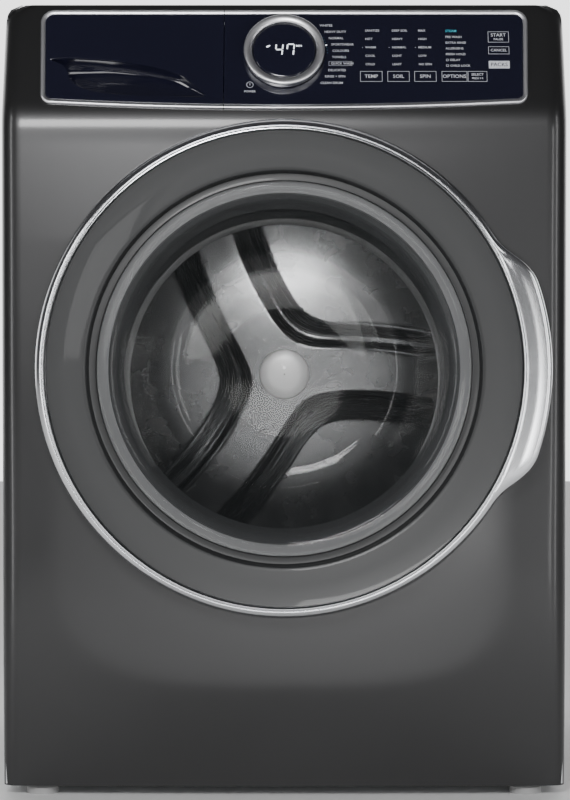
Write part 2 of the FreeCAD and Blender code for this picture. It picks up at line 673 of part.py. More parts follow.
webs = []
for end, low in (("Upper", "door_high + web_half"), ("Lower", "door_high - web_half - web_thick")):
    webs.append(box(f"Web{end}", "0 - hinge_across - 3", "0 - hinge_across + 8", "hinge_y", "front_y", low,
        f"{low} + web_thick"))
    webs.append(rod(f"WebEye{end}", "z", "knuckle_radius", "web_thick", "0 - hinge_across", "hinge_y", low))
hinge_plate = box("HingePlate", "0 - hinge_across - 10", "0 - hinge_across + 20", "front_y - 2", "front_y",
                  "door_high - web_half - web_thick", "door_high + web_half + web_thick")
hinge_pin = rod("HingePin", "z", "pin_radius", "2 * (web_half + web_thick)", "0 - hinge_across", "hinge_y",
                "door_high - web_half - web_thick")
keep(fused("HingeBracket", *webs, hinge_plate, hinge_pin), "hinge_bracket")

lock_body = box("LockBody", "strike_across - 22", "strike_across + 22", "front_y + steel",
    "front_y + steel + 40",
                "door_high - 42", "door_high + 42")
lock_slot = box("LockSlot", "strike_across - strike_wide - 3", "strike_across + strike_wide + 3", "front_y",
                "front_y + 30", "door_high - 14", "door_high + 14")
keep(cut("DoorLock", lock_body, lock_slot), "door_lock")

# Door gasket: one rubber bellows from the panel opening to the mouth of the tub
gasket_bead = turned(
    "GasketBead",
    [("front_y - 6", "opening_radius - 1"), ("front_y + 8", "opening_radius - seat_gap"),
     ("front_y + 8", "glass_flange - 9"), ("front_y + 4", "glass_flange - 9"),
     ("front_y", "glass_flange + 6"),
     ("front_y - 6", "glass_flange + 10")],
    z="door_high")
tub_collar = turned(
    "GasketCollar",
    [("tub_front_y - mouth_lip - 3", "tub_mouth - 2"), ("tub_front_y - 5", "tub_mouth - 2"),
     ("tub_front_y - 5", "tub_mouth + tub_wall + 5"), ("tub_front_y - mouth_lip - 3",
     "tub_mouth + tub_wall + 5")],
    z="drum_high")
collar_bore = rod("CollarBore", "y", "tub_mouth + tub_wall + seat_gap", "60", "0",
    "tub_front_y - mouth_lip - seat_gap", "drum_high")
bellows = []
for side, more in (("Outer", "0"), ("Inner", "0 - 4")):
    rims = []
    for rim, (back, radius, high) in enumerate((("front_y + 4", "opening_radius - 4", "door_high"),
                                                ("tub_front_y - mouth_lip - 1.5",
                                                "tub_mouth + tub_wall + 3.5", "drum_high"))):
        circle = doc.addObject("Part::Circle", f"Bellows{side}Rim{rim}")
        circle.setExpression("Radius", bound(f"{radius} + {more}"))
        rims.append(place(circle, "0", back, high, (1, 0, 0), "90"))
    loft = doc.addObject("Part::Loft", f"Bellows{side}")
    loft.Sections = rims
    loft.Solid = True
    loft.Ruled = True
    bellows.append(loft)
gasket_tube = cut("BellowsTube", *bellows)
keep(cut("Gasket", fused("GasketWhole", gasket_bead, gasket_tube, tub_collar), collar_bore), "door_gasket")

# ---------------------------------------------------------------------------------------------
# Tub: two moulded halves hung on springs, with counterweights, heater and bearings
# ---------------------------------------------------------------------------------------------
tub_front = turned(
    "TubFrontShell",
    [("tub_front_y - mouth_lip", "tub_mouth"), ("tub_front_y - mouth_lip", "tub_mouth + tub_wall"),
     ("tub_front_y", "tub_mouth + tub_wall"), ("tub_front_y", "tub_radius"),
     ("tub_split_y - tub_flange", "tub_radius"),
     ("tub_split_y - tub_flange", "tub_radius + tub_flange"), ("tub_split_y", "tub_radius + tub_flange"),
     ("tub_split_y", "tub_inner"), ("tub_front_y + tub_wall", "tub_inner"),
     ("tub_front_y + tub_wall", "tub_mouth")],
    z="drum_high")
tub_rear = turned(
    "TubRearShell",
    [("tub_split_y", "tub_inner"), ("tub_split_y", "tub_radius + tub_flange"),
     ("tub_split_y + tub_flange", "tub_radius + tub_flange"), ("tub_split_y + tub_flange", "tub_radius"),
     ("tub_back_y", "tub_radius"), ("tub_back_y", "hub_radius"), ("hub_end_y", "hub_radius"),
     ("hub_end_y", "bearing_radius"), ("tub_back_y - tub_wall", "bearing_radius"),
     ("tub_back_y - tub_wall", "tub_inner")],
    z="drum_high")
sump_y = "(tub_front_y + 90)"
tub_low = "(drum_high - tub_radius)"
sump = rod("Sump", "z", "sump_radius + 6", "26", "0", sump_y, f"{tub_low} - 18")
sump_bore = rod("SumpBore", "z", "sump_radius + 2", "60", "0", sump_y, f"{tub_low} - 30")
lugs = [box(f"SpringLug{side}", x0, x1, "tub_split_y", "tub_split_y + 44", "lug_high - 12", "lug_high")
        for side, x0, x1 in (("Left", "0 - spring_x - 12", "20 - tub_radius"),
        ("Right", "tub_radius - 20", "spring_x + 12"))]
damper_top = "(drum_high - sqrt(tub_radius ^ 2 - damper_across ^ 2))"


def damper_lug(name, x, y):
    return box(name, f"{x} - 9", f"{x} + 9", f"{y} - 9", f"{y} + 9", f"{damper_top} - 22",
        f"{damper_top} + 12")


front_lugs = [damper_lug(f"LugFront{side}", x, "damper_front_y") for side,
    x in (("L", "0 - damper_across"), ("R", "damper_across"))]
back_lugs = [damper_lug(f"LugBack{side}", x, "damper_back_y") for side,
    x in (("L", "0 - damper_across"), ("R", "damper_across"))]
keep(cut("TubFront", fused("TubFrontSolid", tub_front, sump, *front_lugs),
         rod("TubFrontHollow", "y", "tub_inner", "tub_split_y - tub_front_y - tub_wall", "0",
         "tub_front_y + tub_wall", "drum_high"),
         sump_bore), "tub_front")
motor_seats = [box(f"MotorSeat{number}", "motor_across - 42", "motor_across + 42", y0, f"{y0} + 16",
                   "motor_high + motor_radius - 34", "drum_high - tub_radius + 40")
               for number, y0 in enumerate(("motor_front_y + 18", "motor_back_y - 60"))]
motor_clear = rod("MotorClear", "y", "motor_radius + seat_gap", "overall_deep", "motor_across", "0 - 100",
    "motor_high")
heater_holes = [rod(f"HeaterHole{side}", "y", "3.9", "60", x, "tub_back_y - 30",
    "drum_high - tub_inner + 8.5")
                for side, x in (("L", "0 - 20"), ("R", "20"))]
rear_cuts = [rod("TubRearHollow", "y", "tub_inner", "tub_back_y - tub_wall - tub_split_y", "0",
    "tub_split_y", "drum_high"),
             motor_clear, *heater_holes]
keep(cut("TubRear", fused("TubRearSolid", tub_rear, *lugs, *back_lugs, *motor_seats), *rear_cuts),
    "tub_rear")

bearings = []
for number, y0 in enumerate(("tub_back_y - tub_wall + 2", "hub_end_y - bearing_wide - 2")):
    bearings.append(turned(
        f"Bearing{number}",
        [("0", "shaft_radius + bearing_fit"), ("0", "bearing_radius"), ("bearing_wide", "bearing_radius"),
         ("bearing_wide", "shaft_radius + bearing_fit")],
        y=y0, z="drum_high"))
keep(group("Bearings", bearings), "drum_bearings")

for end, start in (("upper", "90 + weight_angle / 2"), ("lower", "weight_angle / 2 - 90")):
    keep(turned(
        "Weight" + end.title(),
        [("tub_front_y - weight_deep", "weight_inner"), ("tub_front_y - weight_deep", "tub_radius - 10"),
         ("tub_front_y", "tub_radius - 4"), ("tub_front_y", "weight_inner")],
        z="drum_high", axis=(0, 1, 0), turn=f"90 - ({start})", angle="weight_angle"),
        f"counterweight_{end}")

back_weight = box("BackWeightBlock", "0 - 150", "150", "tub_split_y + 60", "tub_back_y - 40",
                  "drum_high + tub_radius - 60", "drum_high + tub_radius + 60")
weight_seat = rod("WeightSeat", "y", "tub_radius + seat_gap", "overall_deep", "0", "tub_front_y",
    "drum_high")
keep(cut("BackWeight", back_weight, weight_seat), "counterweight_back")

heater_high = "drum_high - tub_inner + 8.5"
heater_rod = hose("HeaterRod", "3.5", [
    ("0 - 20", "tub_back_y + 4", heater_high), ("0 - 20", "tub_front_y + 60", heater_high),
    ("20", "tub_front_y + 60", heater_high), ("20", "tub_back_y + 4", heater_high)])
heater_plate = box("HeaterPlate", "0 - 34", "34", "tub_back_y", "tub_back_y + 5", f"{heater_high} - 9",
    f"{heater_high} + 9")
keep(fused("Heater", heater_rod, heater_plate), "water_heater")

# ---------------------------------------------------------------------------------------------
# Drum: perforated shell, pressed back, three lifters, cast spider and shaft
# ---------------------------------------------------------------------------------------------
keep(turned(
    "DrumShell",
    [("drum_front_y", "drum_mouth"), ("drum_front_y", "drum_radius - 12"),
    ("drum_front_y + 12", "drum_radius"),
     ("drum_back_y + 6", "drum_radius"), ("drum_back_y + 6", "drum_inner"),
     ("drum_front_y + 13", "drum_inner"),
     ("drum_front_y + drum_wall", "drum_radius - 13"), ("drum_front_y + drum_wall", "drum_mouth + 6"),
     ("drum_front_y + 10", "drum_mouth + 5"), ("drum_front_y + 10", "drum_mouth")],
    z="drum_high"), "drum_shell")
keep(turned(
    "DrumBack",
    [("drum_back_y - 14", "0"), ("drum_back_y - 14", "36"), ("drum_back_y", "62"),
    ("drum_back_y", "drum_inner - 0.1"),
     ("drum_back_y + 2", "drum_inner - 0.1"), ("drum_back_y + 2", "0")],
    z="drum_high"), "drum_back")

LIFTER_TURNS = [f"lifter_turn + {step}" for step in (0, 120, 240)]
lifters = []
for number, turn in enumerate(LIFTER_TURNS):
    lifters.append(padded(
        f"Lifter{number}", "XZ_Plane", "lifter_long",
        [("drum_inner - lifter_high", "0 - 13"), ("drum_inner - lifter_high - 7", "0", "via"),
         ("drum_inner - lifter_high", "13"), ("drum_inner - 3", "lifter_wide / 2"),
         ("drum_inner - 3", "0 - lifter_wide / 2")],
        y="drum_back_y - 8", z="drum_high", axis=(0, 1, 0), turn=f"0 - ({turn})"))
keep(group("Lifters", lifters), "drum_lifters")

arms = [padded(
    f"SpiderArm{number}", "XZ_Plane", "spider_deep - 4",
    [("0", "0 - 26"), ("drum_inner - 4", "0 - 13"), ("drum_inner - 4", "13"), ("0", "26")],
    y="drum_back_y + spider_deep - 2", z="drum_high", axis=(0, 1, 0), turn=f"0 - ({turn})") for number,
    turn in enumerate(LIFTER_TURNS)]
spider_hub = rod("SpiderHub", "y", "48", "spider_deep", "0", "drum_back_y + 2", "drum_high")
shaft = rod("DrumShaft", "y", "shaft_radius", "shaft_end_y - drum_back_y - 4", "0", "drum_back_y + 4",
    "drum_high")
keep(fused("Spider", *arms, spider_hub, shaft), "drum_spider")

pulley_disc = turned(
    "PulleyDisc",
    [("0", "shaft_radius + 0.02"), ("0", "30"), ("8", "34"), ("8", "pulley_radius - 8"),
    ("0", "pulley_radius - 8"),
     ("0", "pulley_radius"), ("pulley_wide", "pulley_radius"), ("pulley_wide", "pulley_radius - 8"),
     ("12", "pulley_radius - 8"), ("12", "34"), ("pulley_wide", "30"),
     ("pulley_wide", "shaft_radius + 0.02")],
    y="pulley_y", z="drum_high")
windows = [rod(f"PulleyWindow{number}", "y", "34", "60", f"88 * cos({60 * number})", "pulley_y - 20",
               f"drum_high + 88 * sin({60 * number})") for number in range(6)]
keep(cut("DrumPulley", pulley_disc, *windows), "drum_pulley")

# ---------------------------------------------------------------------------------------------
# Motor and belt
# ---------------------------------------------------------------------------------------------
keep(turned(
    "MotorCase",
    [("motor_front_y", "motor_shaft + 3"), ("motor_front_y", "motor_radius"),
    ("motor_back_y", "motor_radius"),
     ("motor_back_y", "motor_shaft + bearing_fit"), ("motor_back_y - 8", "motor_shaft + bearing_fit"),
     ("motor_back_y - 8", "rotor_radius + 1"), ("motor_front_y + 8", "rotor_radius + 1"),
     ("motor_front_y + 8", "motor_shaft + 3")],
    x="motor_across", z="motor_high"), "motor_housing")
keep(turned(
    "MotorRotor",
    [("motor_front_y + 16", "0"), ("motor_front_y + 16", "rotor_radius"),
    ("motor_back_y - 16", "rotor_radius"),
     ("motor_back_y - 16", "motor_shaft"), ("pulley_y + 2", "motor_shaft"),
     ("pulley_y + 2", "motor_pulley"),
     ("pulley_y + pulley_wide - 2", "motor_pulley"), ("pulley_y + pulley_wide - 2", "0")],
    x="motor_across", z="motor_high"), "motor_rotor")


def belt_face(off):
    """The area inside a tight loop round both pulleys, a distance off their faces."""
    big = Vector(0, value("pulley_y + (pulley_wide - belt_wide) / 2"), value("drum_high"))
    small = Vector(value("motor_across"), big.y, value("motor_high"))
    big_radius = value("pulley_radius") + off
    small_radius = value("motor_pulley") + off
    along = small - big
    heading = math.atan2(along.z, along.x)
    open_angle = math.acos((big_radius - small_radius) / along.Length)

    def rim(middle, radius, angle):
        return middle + Vector(radius * math.cos(angle), 0, radius * math.sin(angle))

    first, last = heading + open_angle, heading - open_angle
    return Part.Face(Part.Wire([
        Part.Arc(rim(big, big_radius, first), rim(big, big_radius, heading + math.pi),
        rim(big, big_radius, last)).toShape(),
        Part.LineSegment(rim(big, big_radius, last), rim(small, small_radius, last)).toShape(),
        Part.Arc(rim(small, small_radius, last), rim(small, small_radius, heading),
        rim(small, small_radius, first)).toShape(),
        Part.LineSegment(rim(small, small_radius, first), rim(big, big_radius, first)).toShape()]))


belt = doc.addObject("Part::Feature", "Belt")
belt_inside = value("seat_gap")
belt_outside = belt_inside + value("belt_thick")
belt.Shape = belt_face(belt_outside).cut(belt_face(belt_inside)).extrude(Vector(0, value("belt_wide"), 0))
keep(belt, "drive_belt")

# ---------------------------------------------------------------------------------------------
# Springs and dampers
# ---------------------------------------------------------------------------------------------
springs = []
for side, x in (("Left", "0 - spring_x"), ("Right", "spring_x")):
    y = "tub_split_y + 20"
    coil = rod(f"SpringCoil{side}", "z", "spring_radius", "rail_low - lug_high - 60", x, y, "lug_high + 30")
    stem = rod(f"SpringStem{side}", "z", "2.5", "rail_low - lug_high - 2 * seat_gap", x, y,
        "lug_high + seat_gap")
    springs.append(fused(f"Spring{side}", coil, stem))
keep(group("Springs", springs), "tub_springs")

DAMPERS = [(x, y) for x in ("0 - damper_across", "damper_across") for y in ("damper_front_y",
    "damper_back_y")]
cylinders = []
rods = []
for number, (x, y) in enumerate(DAMPERS):
    foot = "pan_floor + pan_wall"
    sleeve = rod(f"DamperSleeve{number}", "z", "damper_radius", "damper_high", x, y, foot)
    sleeve_bore = rod(f"DamperBore{number}", "z", "rod_radius + 0.5", "damper_high", x, y, f"{foot} + 20")
    cylinders.append(cut(f"DamperCylinder{number}", sleeve, sleeve_bore))
    rod_low = f"{foot} + 20 + tub_float + 30"
    rods.append(rod(f"DamperRod{number}", "z", "rod_radius", f"{damper_top} - 22 - ({rod_low})", x, y,
        rod_low))
keep(group("DamperCylinders", cylinders), "damper_cylinders")
keep(group("DamperRods", rods), "damper_rods")

# ---------------------------------------------------------------------------------------------
# Control console on the leaning face
# ---------------------------------------------------------------------------------------------
CONSOLE = {"x": "0", **LEAN_BACK}


def leaning_rod(name, radius, proud, deep):
    """A cylinder square to the leaning face at the knob axis, from a depth behind it to a height before it."""
    item = doc.addObject("Part::Cylinder", name)
    item.setExpression("Radius", bound(radius))
    item.setExpression("Height", bound(f"{proud} + {deep}"))
    y = f"front_y + knob_up * sin(lean) + ({deep}) * cos(lean)"
    z = f"bend_high + knob_up * cos(lean) - ({deep}) * sin(lean)"
    return place(item, "0", y, z, (1, 0, 0), "90 - lean")


def console_outline(inset):
    """The console's rim: straight sides, a top edge, and a lower edge that bows down in the middle."""
    foot = f"console_foot - ({inset})"
    top = f"console_half - ({inset})"
    low = f"console_side_low + ({inset})"
    return [(f"0 - ({foot})", low), ("0", f"console_low + ({inset})", "via"), (foot, low),
            (top, f"console_top - ({inset})"), (f"0 - ({top})", f"console_top - ({inset})")]


def console_half_space(name, x0, x1):
    return padded(name, "XZ_Plane", "400", rectangle(x0, x1, "0 - 60", "260"), both=True, **CONSOLE)


split_right = "split_gap / 2 - split_across"
split_left = "0 - split_across - split_gap / 2"
trims = {}
plates = {}
for side, x0, x1 in (("Right", split_right, "half_wide"), ("Left", "0 - half_wide", split_left)):
    rim = padded(f"Trim{side}Whole", "XZ_Plane", "trim_proud", console_outline("0"),
        console_outline("trim_wide"), **CONSOLE)
    plate = padded(f"Plate{side}Whole", "XZ_Plane", "fascia_thick", console_outline("trim_wide"), **CONSOLE)
    for kind, whole, store in (("Trim", rim, trims), ("Plate", plate, plates)):
        part = doc.addObject("Part::Common", f"{kind}{side}")
        part.Base = whole
        part.Tool = console_half_space(f"{kind}{side}Space", x0, x1)
        store[side] = part
keep(trims["Right"], "console_trim")
keep(cut("Fascia", plates["Right"], leaning_rod("FasciaHole", "knob_inner - knob_fit - 4", "20", "20")),
    "console_fascia")
keep(leaning_rod("Lens", "knob_inner - knob_fit", "lens_proud", "0 - fascia_thick"), "display_lens")
knob_outer = leaning_rod("KnobOuter", "knob_radius", "knob_proud", "0 - fascia_thick - 1")
knob_bore = leaning_rod("KnobBore", "knob_inner", "60", "60")
keep(cut("Knob", knob_outer, knob_bore), "cycle_knob")

board = padded("Board", "XZ_Plane", "2", rectangle("10 - split_across", "console_foot - 20",
    "console_side_low + 14", "console_top - 14"),
               x="0", y="front_y + 13 * cos(lean)", z="bend_high - 13 * sin(lean)", turn="0 - lean")
board_posts = [padded(f"BoardPost{number}", "XZ_Plane", "13", (across, up, "3"), x="0",
                      y="front_y + 13 * cos(lean)", z="bend_high - 13 * sin(lean)", turn="0 - lean")
               for number, (across, up) in enumerate([(x, z) for x in ("20 - split_across",
               "console_foot - 32")
                                                      for z in ("console_side_low + 24",
                                                      "console_top - 24")])]
keep(fused("ControlBoard", board, *board_posts), "control_board")

# ---------------------------------------------------------------------------------------------
# Detergent drawer and its housing
# ---------------------------------------------------------------------------------------------
keep(trims["Left"], "drawer_trim")
neck = box("DrawerNeck", "0 - tray_left + 6", "0 - tray_right - 6", "front_y", "tray_front_y",
    "tray_low + 4", "tray_low + tray_high - 4")
ahead = padded("AheadOfFace", "XZ_Plane", "200", rectangle("0 - half_wide", "0", "0 - 60", "260"),
    **CONSOLE)
keep(fused("DrawerFront", plates["Left"], cut("DrawerNeckCut", neck, ahead)), "drawer_front")
tray_block = box("TrayBlock", "0 - tray_left", "0 - tray_right", "tray_front_y", "tray_front_y + tray_long",
                 "tray_low", "tray_low + tray_high")
tray_rooms = [box(f"TrayRoom{number}", x0, x1, y0, y1, "tray_low + tray_wall", "tray_low + tray_high + 5")
              for number, (x0, x1, y0, y1) in enumerate((
                  ("tray_wall - tray_left", "0 - tray_left + 90", "tray_front_y + tray_wall",
                  "tray_front_y + tray_long - tray_wall"),
                  ("tray_wall - tray_left + 90", "0 - tray_right - tray_wall", "tray_front_y + tray_wall",
                  "tray_front_y + 120"),
                  ("tray_wall - tray_left + 90", "0 - tray_right - tray_wall",
                  "tray_front_y + 120 + tray_wall",
                   "tray_front_y + tray_long - tray_wall")))]
keep(cut("Tray", tray_block, *tray_rooms), "drawer_tray")
housing_left = "0 - tray_left - move_gap - housing_wall"
housing_right = "0 - tray_right + move_gap + housing_wall"
housing_end = "tray_front_y + tray_long + move_gap"
housing_low = "tray_low - move_gap"
housing_top = "tray_low + tray_high + 12"
housing = box("HousingBlock", housing_left, housing_right, "housing_front_y",
    f"{housing_end} + housing_wall",
              f"{housing_low} - housing_wall", f"{housing_top} + housing_wall")
housing_void = box("HousingVoid", f"{housing_left} + housing_wall", f"{housing_right} - housing_wall",
                   "housing_front_y - 5", housing_end, housing_low, housing_top)
housing_port = rod("HousingPort", "z", "sump_radius - 3", "20", "0 - 180", "tub_front_y + 150",
    f"{housing_low} - 12")
keep(cut("Housing", housing, housing_void, housing_port), "dispenser_housing")

# ---------------------------------------------------------------------------------------------
# Water: inlet valves, hoses, pump
# ---------------------------------------------------------------------------------------------
TAPS = {"Hot": ("valve_hot_x", "0 - 150", "110"), "Cold": ("valve_cold_x", "0 - 110", "170")}
valves = []
fill_hoses = []
for tap, (x, landing, turn_back) in TAPS.items():
    coil_body = rod(f"ValveBody{tap}", "y", "valve_radius", "36", x, "rear_y - steel - 36", "valve_high")
    spout = rod(f"Spout{tap}", "y", "spout_radius", "spout_long + steel + 4", x, "rear_y - steel - 4",
        "valve_high")
    barb = rod(f"Barb{tap}", "y", "hose_radius - 2", "16", x, "rear_y - steel - 50", "valve_high")
    valves.append(fused(f"Valve{tap}", coil_body, spout, barb))
    fill_hoses.append(hose(f"Fill{tap}", "hose_radius", [
        (x, "rear_y - steel - 50 - seat_gap", "valve_high"), (x, f"rear_y - {turn_back}", "valve_high"),
        (landing, f"rear_y - {turn_back} - 40", "valve_high - 10"),
        (landing, f"{housing_end} + housing_wall + seat_gap", "valve_high - 10")]))
keep(group("Valves", valves), "inlet_valves")
keep(group("FillHoses", fill_hoses), "fill_hoses")

keep(hose("DispenserHose", "sump_radius", [
    ("0 - 180", "tub_front_y + 150", f"{housing_low} - housing_wall - seat_gap"),
    ("0 - 180", "tub_front_y + 150", "drum_high + sqrt(tub_radius ^ 2 - (180 - sump_radius) ^ 2) + seat_gap")]), "dispenser_hose")

pump_case = turned(
    "PumpCase",
    [("0 - 20", "0"), ("0 - 20", "pump_radius"), ("20", "pump_radius"), ("20", "pump_radius - 10"),
     ("75", "pump_radius - 10"), ("75", "0")],
    x="pump_across", y="pump_y", z="pump_high")
pump_foot = box("PumpFoot", "pump_across - 20", "pump_across + 20", "pump_y - 15", "pump_y + 60",
    "pan_floor + pan_wall", "pump_high - 24")
pump_room = rod("PumpRoom", "y", "pump_radius - 4", "31", "pump_across", "pump_y - 16", "pump_high")
pump_inlet = rod("PumpInlet", "x", "sump_radius - 3", "24", "pump_across - pump_radius - 20", "pump_y",
    "pump_high")
pump_outlet = rod("PumpOutlet", "x", "drain_radius - 2.5", "24", "pump_across + pump_radius - 4", "pump_y",
    "pump_high")
keep(cut("Pump", fused("PumpSolid", pump_case, pump_foot, pump_inlet, pump_outlet), pump_room),
    "drain_pump")
impeller_hub = rod("ImpellerHub", "y", "8", "25 - seat_gap", "pump_across", "pump_y - 10", "pump_high")
blades = [box(f"Blade{number}", *spans, "pump_y - 8", "pump_y + 8", *rise)
          for number, (spans, rise) in enumerate((
              (("pump_across - impeller_radius", "pump_across + impeller_radius"),
              ("pump_high - 1", "pump_high + 1")),
              (("pump_across - 1", "pump_across + 1"), ("pump_high - impeller_radius",
              "pump_high + impeller_radius"))))]
keep(fused("Impeller", impeller_hub, *blades), "pump_impeller")
keep(hose("SumpHose", "sump_radius", [
    ("0", sump_y, f"{tub_low} - 18 - seat_gap"), ("0", sump_y, "pump_high + 30"),
    ("40", "pump_y", "pump_high"),
    ("pump_across - pump_radius - 20 - seat_gap", "pump_y", "pump_high")]), "sump_hose")
keep(hose("DrainHose", "drain_radius", [
    ("pump_across + pump_radius + 20 + seat_gap", "pump_y", "pump_high"),
    ("half_wide - 60", "pump_y", "pump_high"),
    ("half_wide - 40", "0", "pump_high - 5"), ("half_wide - 44", "rear_y - 34", "pump_high"),
    ("half_wide - 60", "rear_y - 34", "valve_high - 120"), ("0 - 150", "rear_y - 32", "valve_high - 50"),
    ("70 - half_wide", "rear_y - 60", "valve_high - 25"), ("70 - half_wide", "rear_y - 4",
    "valve_high - 25")]), "drain_hose")
keep(rod("DrainOutlet", "y", "drain_radius", "14", "70 - half_wide", "rear_y - 3.5", "valve_high - 25"),
    "drain_outlet")
keep(rod("CordGland", "y", "9", "10", "120 - half_wide", "rear_y - 4", "valve_high - 10"), "cord_gland")
keep(box("MotorControl", "60 - half_wide", "170 - half_wide", "rear_y - 200", "rear_y - 30",
    "pan_floor + pan_wall",
         "pan_floor + pan_wall + 70"), "motor_controller")
keep(turned("PressureSwitch", [("0", "0"), ("0", "24"), ("14", "24"), ("14", "9"), ("24", "9"),
    ("24", "0")],
            x="half_wide - steel - 24", y="return_y + 100", z="rail_low - 60", axis=(0, 0, 1),
            turn="0 - 90"), "pressure_switch")


# ---------------------------------------------------------------------------------------------
# Check every object, then write each piece
# ---------------------------------------------------------------------------------------------
doc.recompute()
for item in doc.Objects:
    if "Invalid" in item.State or "Error" in item.State:
        raise RuntimeError(f"{item.Name} is {item.State}")
for item in SUBPARTS:
    if item.Shape.isNull() or not item.Shape.isValid():
        raise RuntimeError(f"{item.Label} has no valid shape")

os.makedirs("parts", exist_ok=True)
for item in SUBPARTS:
    item.Shape.exportStep(f"parts/{item.Label}.step")
print(f"{len(SUBPARTS)} pieces written")
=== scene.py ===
import math
import bpy
from mathutils import Matrix, Vector


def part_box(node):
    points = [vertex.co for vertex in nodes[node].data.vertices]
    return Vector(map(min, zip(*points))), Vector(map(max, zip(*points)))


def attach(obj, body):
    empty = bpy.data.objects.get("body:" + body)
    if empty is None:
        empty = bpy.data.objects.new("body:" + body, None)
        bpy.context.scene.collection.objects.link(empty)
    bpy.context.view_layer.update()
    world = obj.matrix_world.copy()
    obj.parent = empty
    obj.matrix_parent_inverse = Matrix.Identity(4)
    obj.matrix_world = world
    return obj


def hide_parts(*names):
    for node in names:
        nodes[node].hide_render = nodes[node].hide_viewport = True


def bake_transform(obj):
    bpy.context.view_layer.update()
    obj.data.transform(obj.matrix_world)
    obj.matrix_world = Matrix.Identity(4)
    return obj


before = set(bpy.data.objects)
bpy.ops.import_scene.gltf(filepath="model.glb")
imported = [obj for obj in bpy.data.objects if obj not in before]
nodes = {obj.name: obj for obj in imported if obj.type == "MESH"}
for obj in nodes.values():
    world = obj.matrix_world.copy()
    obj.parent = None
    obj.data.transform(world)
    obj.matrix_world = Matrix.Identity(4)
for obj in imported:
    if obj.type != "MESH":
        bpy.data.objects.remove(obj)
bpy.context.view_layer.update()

# ---- Front panel -----------------------------------------------------------------------------
# One deep drawn sheet of zinc coated steel, sprayed with metallic graphite enamel and clear coat.
# It bows a little, leans back above a soft bend, and falls away outside a long U shaped crease.
panel_low, panel_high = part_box("front_panel")
FRONT_Y = panel_low[1]
RETURN_Y = panel_high[1]
HALF_WIDE = panel_high[0]
TOP_Z = panel_high[2]
BOTTOM_Z = panel_low[2]
BEND_Z = 0.830
LEAN = math.radians(25.5)
CORNER = 0.020
TOP_ROUND = 0.019
DOOR_Z = 0.523


class Socket:
    """A shader socket that takes Python's operators; each one adds its Math node."""

    def __init__(self, tree, link):
        self.tree = tree
        self.link = link

    def node(self, kind, settings=None, inputs=None, out=0):
        item = self.tree.nodes.new(kind)
        for name, setting in (settings or {}).items():
            if name == "stops":
                ramp = item.color_ramp
                while len(ramp.elements) > 1:
                    ramp.elements.remove(ramp.elements[-1])
                ramp.elements[0].position, ramp.elements[0].color = setting[0]
                for position, colour in setting[1:]:
                    ramp.elements.new(position).color = colour
            else:
                setattr(item, name, setting)
        for name, given in (inputs or {}).items():
            if isinstance(given, Socket):
                self.tree.links.new(given.link, item.inputs[name])
            else:
                item.inputs[name].default_value = given
        return Socket(self.tree, item.outputs[out])

    def maths(self, operation, other=0.0, swap=False):
        pair = {0: other, 1: self} if swap else {0: self, 1: other}
        return self.node("ShaderNodeMath", {"operation": operation}, pair)

    def __add__(self, other):
        return self.maths("ADD", other)

    __radd__ = __add__

    def __sub__(self, other):
        return self.maths("SUBTRACT", other)

    def __rsub__(self, other):
        return self.maths("SUBTRACT", other, True)

    def __mul__(self, other):
        return self.maths("MULTIPLY", other)

    __rmul__ = __mul__

    def __truediv__(self, other):
        return self.maths("DIVIDE", other)

    def __pow__(self, other):
        return self.maths("POWER", other)

    def noise(self, scale, detail=3.0, roughness=0.5):
        return self.node("ShaderNodeTexNoise", {}, {"Vector": self, "Scale": scale, "Detail": detail,
                                                   "Roughness": roughness}, 0)

    def blend(self, first, second):
        return self.node("ShaderNodeMix", {"data_type": "RGBA"}, {0: self, 6: first, 7: second}, 2)

    def bump(self, strength, distance):
        return self.node("ShaderNodeBump", {}, {"Height": self, "Strength": strength, "Distance": distance})


def finish_of(name, colour, roughness, metallic=0.0, coat=0.0, **settings):
    """A new material; returns it with its Object coordinates and its shader's inputs."""
    material = bpy.data.materials.new(name)
    material.use_nodes = True
    tree = material.node_tree
    shader = tree.nodes["Principled BSDF"].inputs
    shader["Base Color"].default_value = (*colour, 1)
    shader["Roughness"].default_value = roughness
    shader["Metallic"].default_value = metallic
    shader["Coat Weight"].default_value = coat
    for key, setting in settings.items():
        shader[key.replace("_", " ")].default_value = setting
    place = Socket(tree, tree.nodes.new("ShaderNodeTexCoord").outputs["Object"])
    return material, place, shader


def feed(socket, shader_input):
    socket.tree.links.new(socket.link, shader_input)


def mottled(name, colour, other, roughness, spread, scale, metallic=0.0, coat=0.0, grain=0.0,
    grain_scale=900.0, **settings):
    """A finish whose colour and gloss drift softly, with a fine grain in its surface."""
    material, place, shader = finish_of(name, colour, roughness, metallic, coat, **settings)
    cloud = place.noise(scale, 4.0)
    feed(cloud.blend((*colour, 1), (*other, 1)), shader["Base Color"])
    feed(roughness + (cloud - 0.5) * spread, shader["Roughness"])
    if grain:
        feed(place.noise(grain_scale, 2.0).bump(grain, 0.0004), shader["Normal"])
    return material


graphite = mottled("graphite_enamel", (0.040, 0.040, 0.041), (0.048, 0.048, 0.049), 0.34, 0.06, 5.0,
                   metallic=0.75, coat=0.35, grain=0.05, grain_scale=2600.0, Coat_Roughness=0.12)


def start_edit():
    bpy.ops.object.mode_set(mode="EDIT")
    bpy.ops.mesh.select_mode(type="VERT")


def stop_edit():
    bpy.ops.object.mode_set(mode="OBJECT")


def begin(name):
    """Name the primitive that was just added and settle its place into its mesh."""
    piece = bpy.context.object
    piece.name = name
    piece.data.name = name
    bpy.ops.object.transform_apply(location=True, rotation=True, scale=True)
    return piece


def clear_selection():
    bpy.ops.object.select_all(action="DESELECT")


def pick(piece):
    clear_selection()
    piece.select_set(True)
    bpy.context.view_layer.objects.active = piece


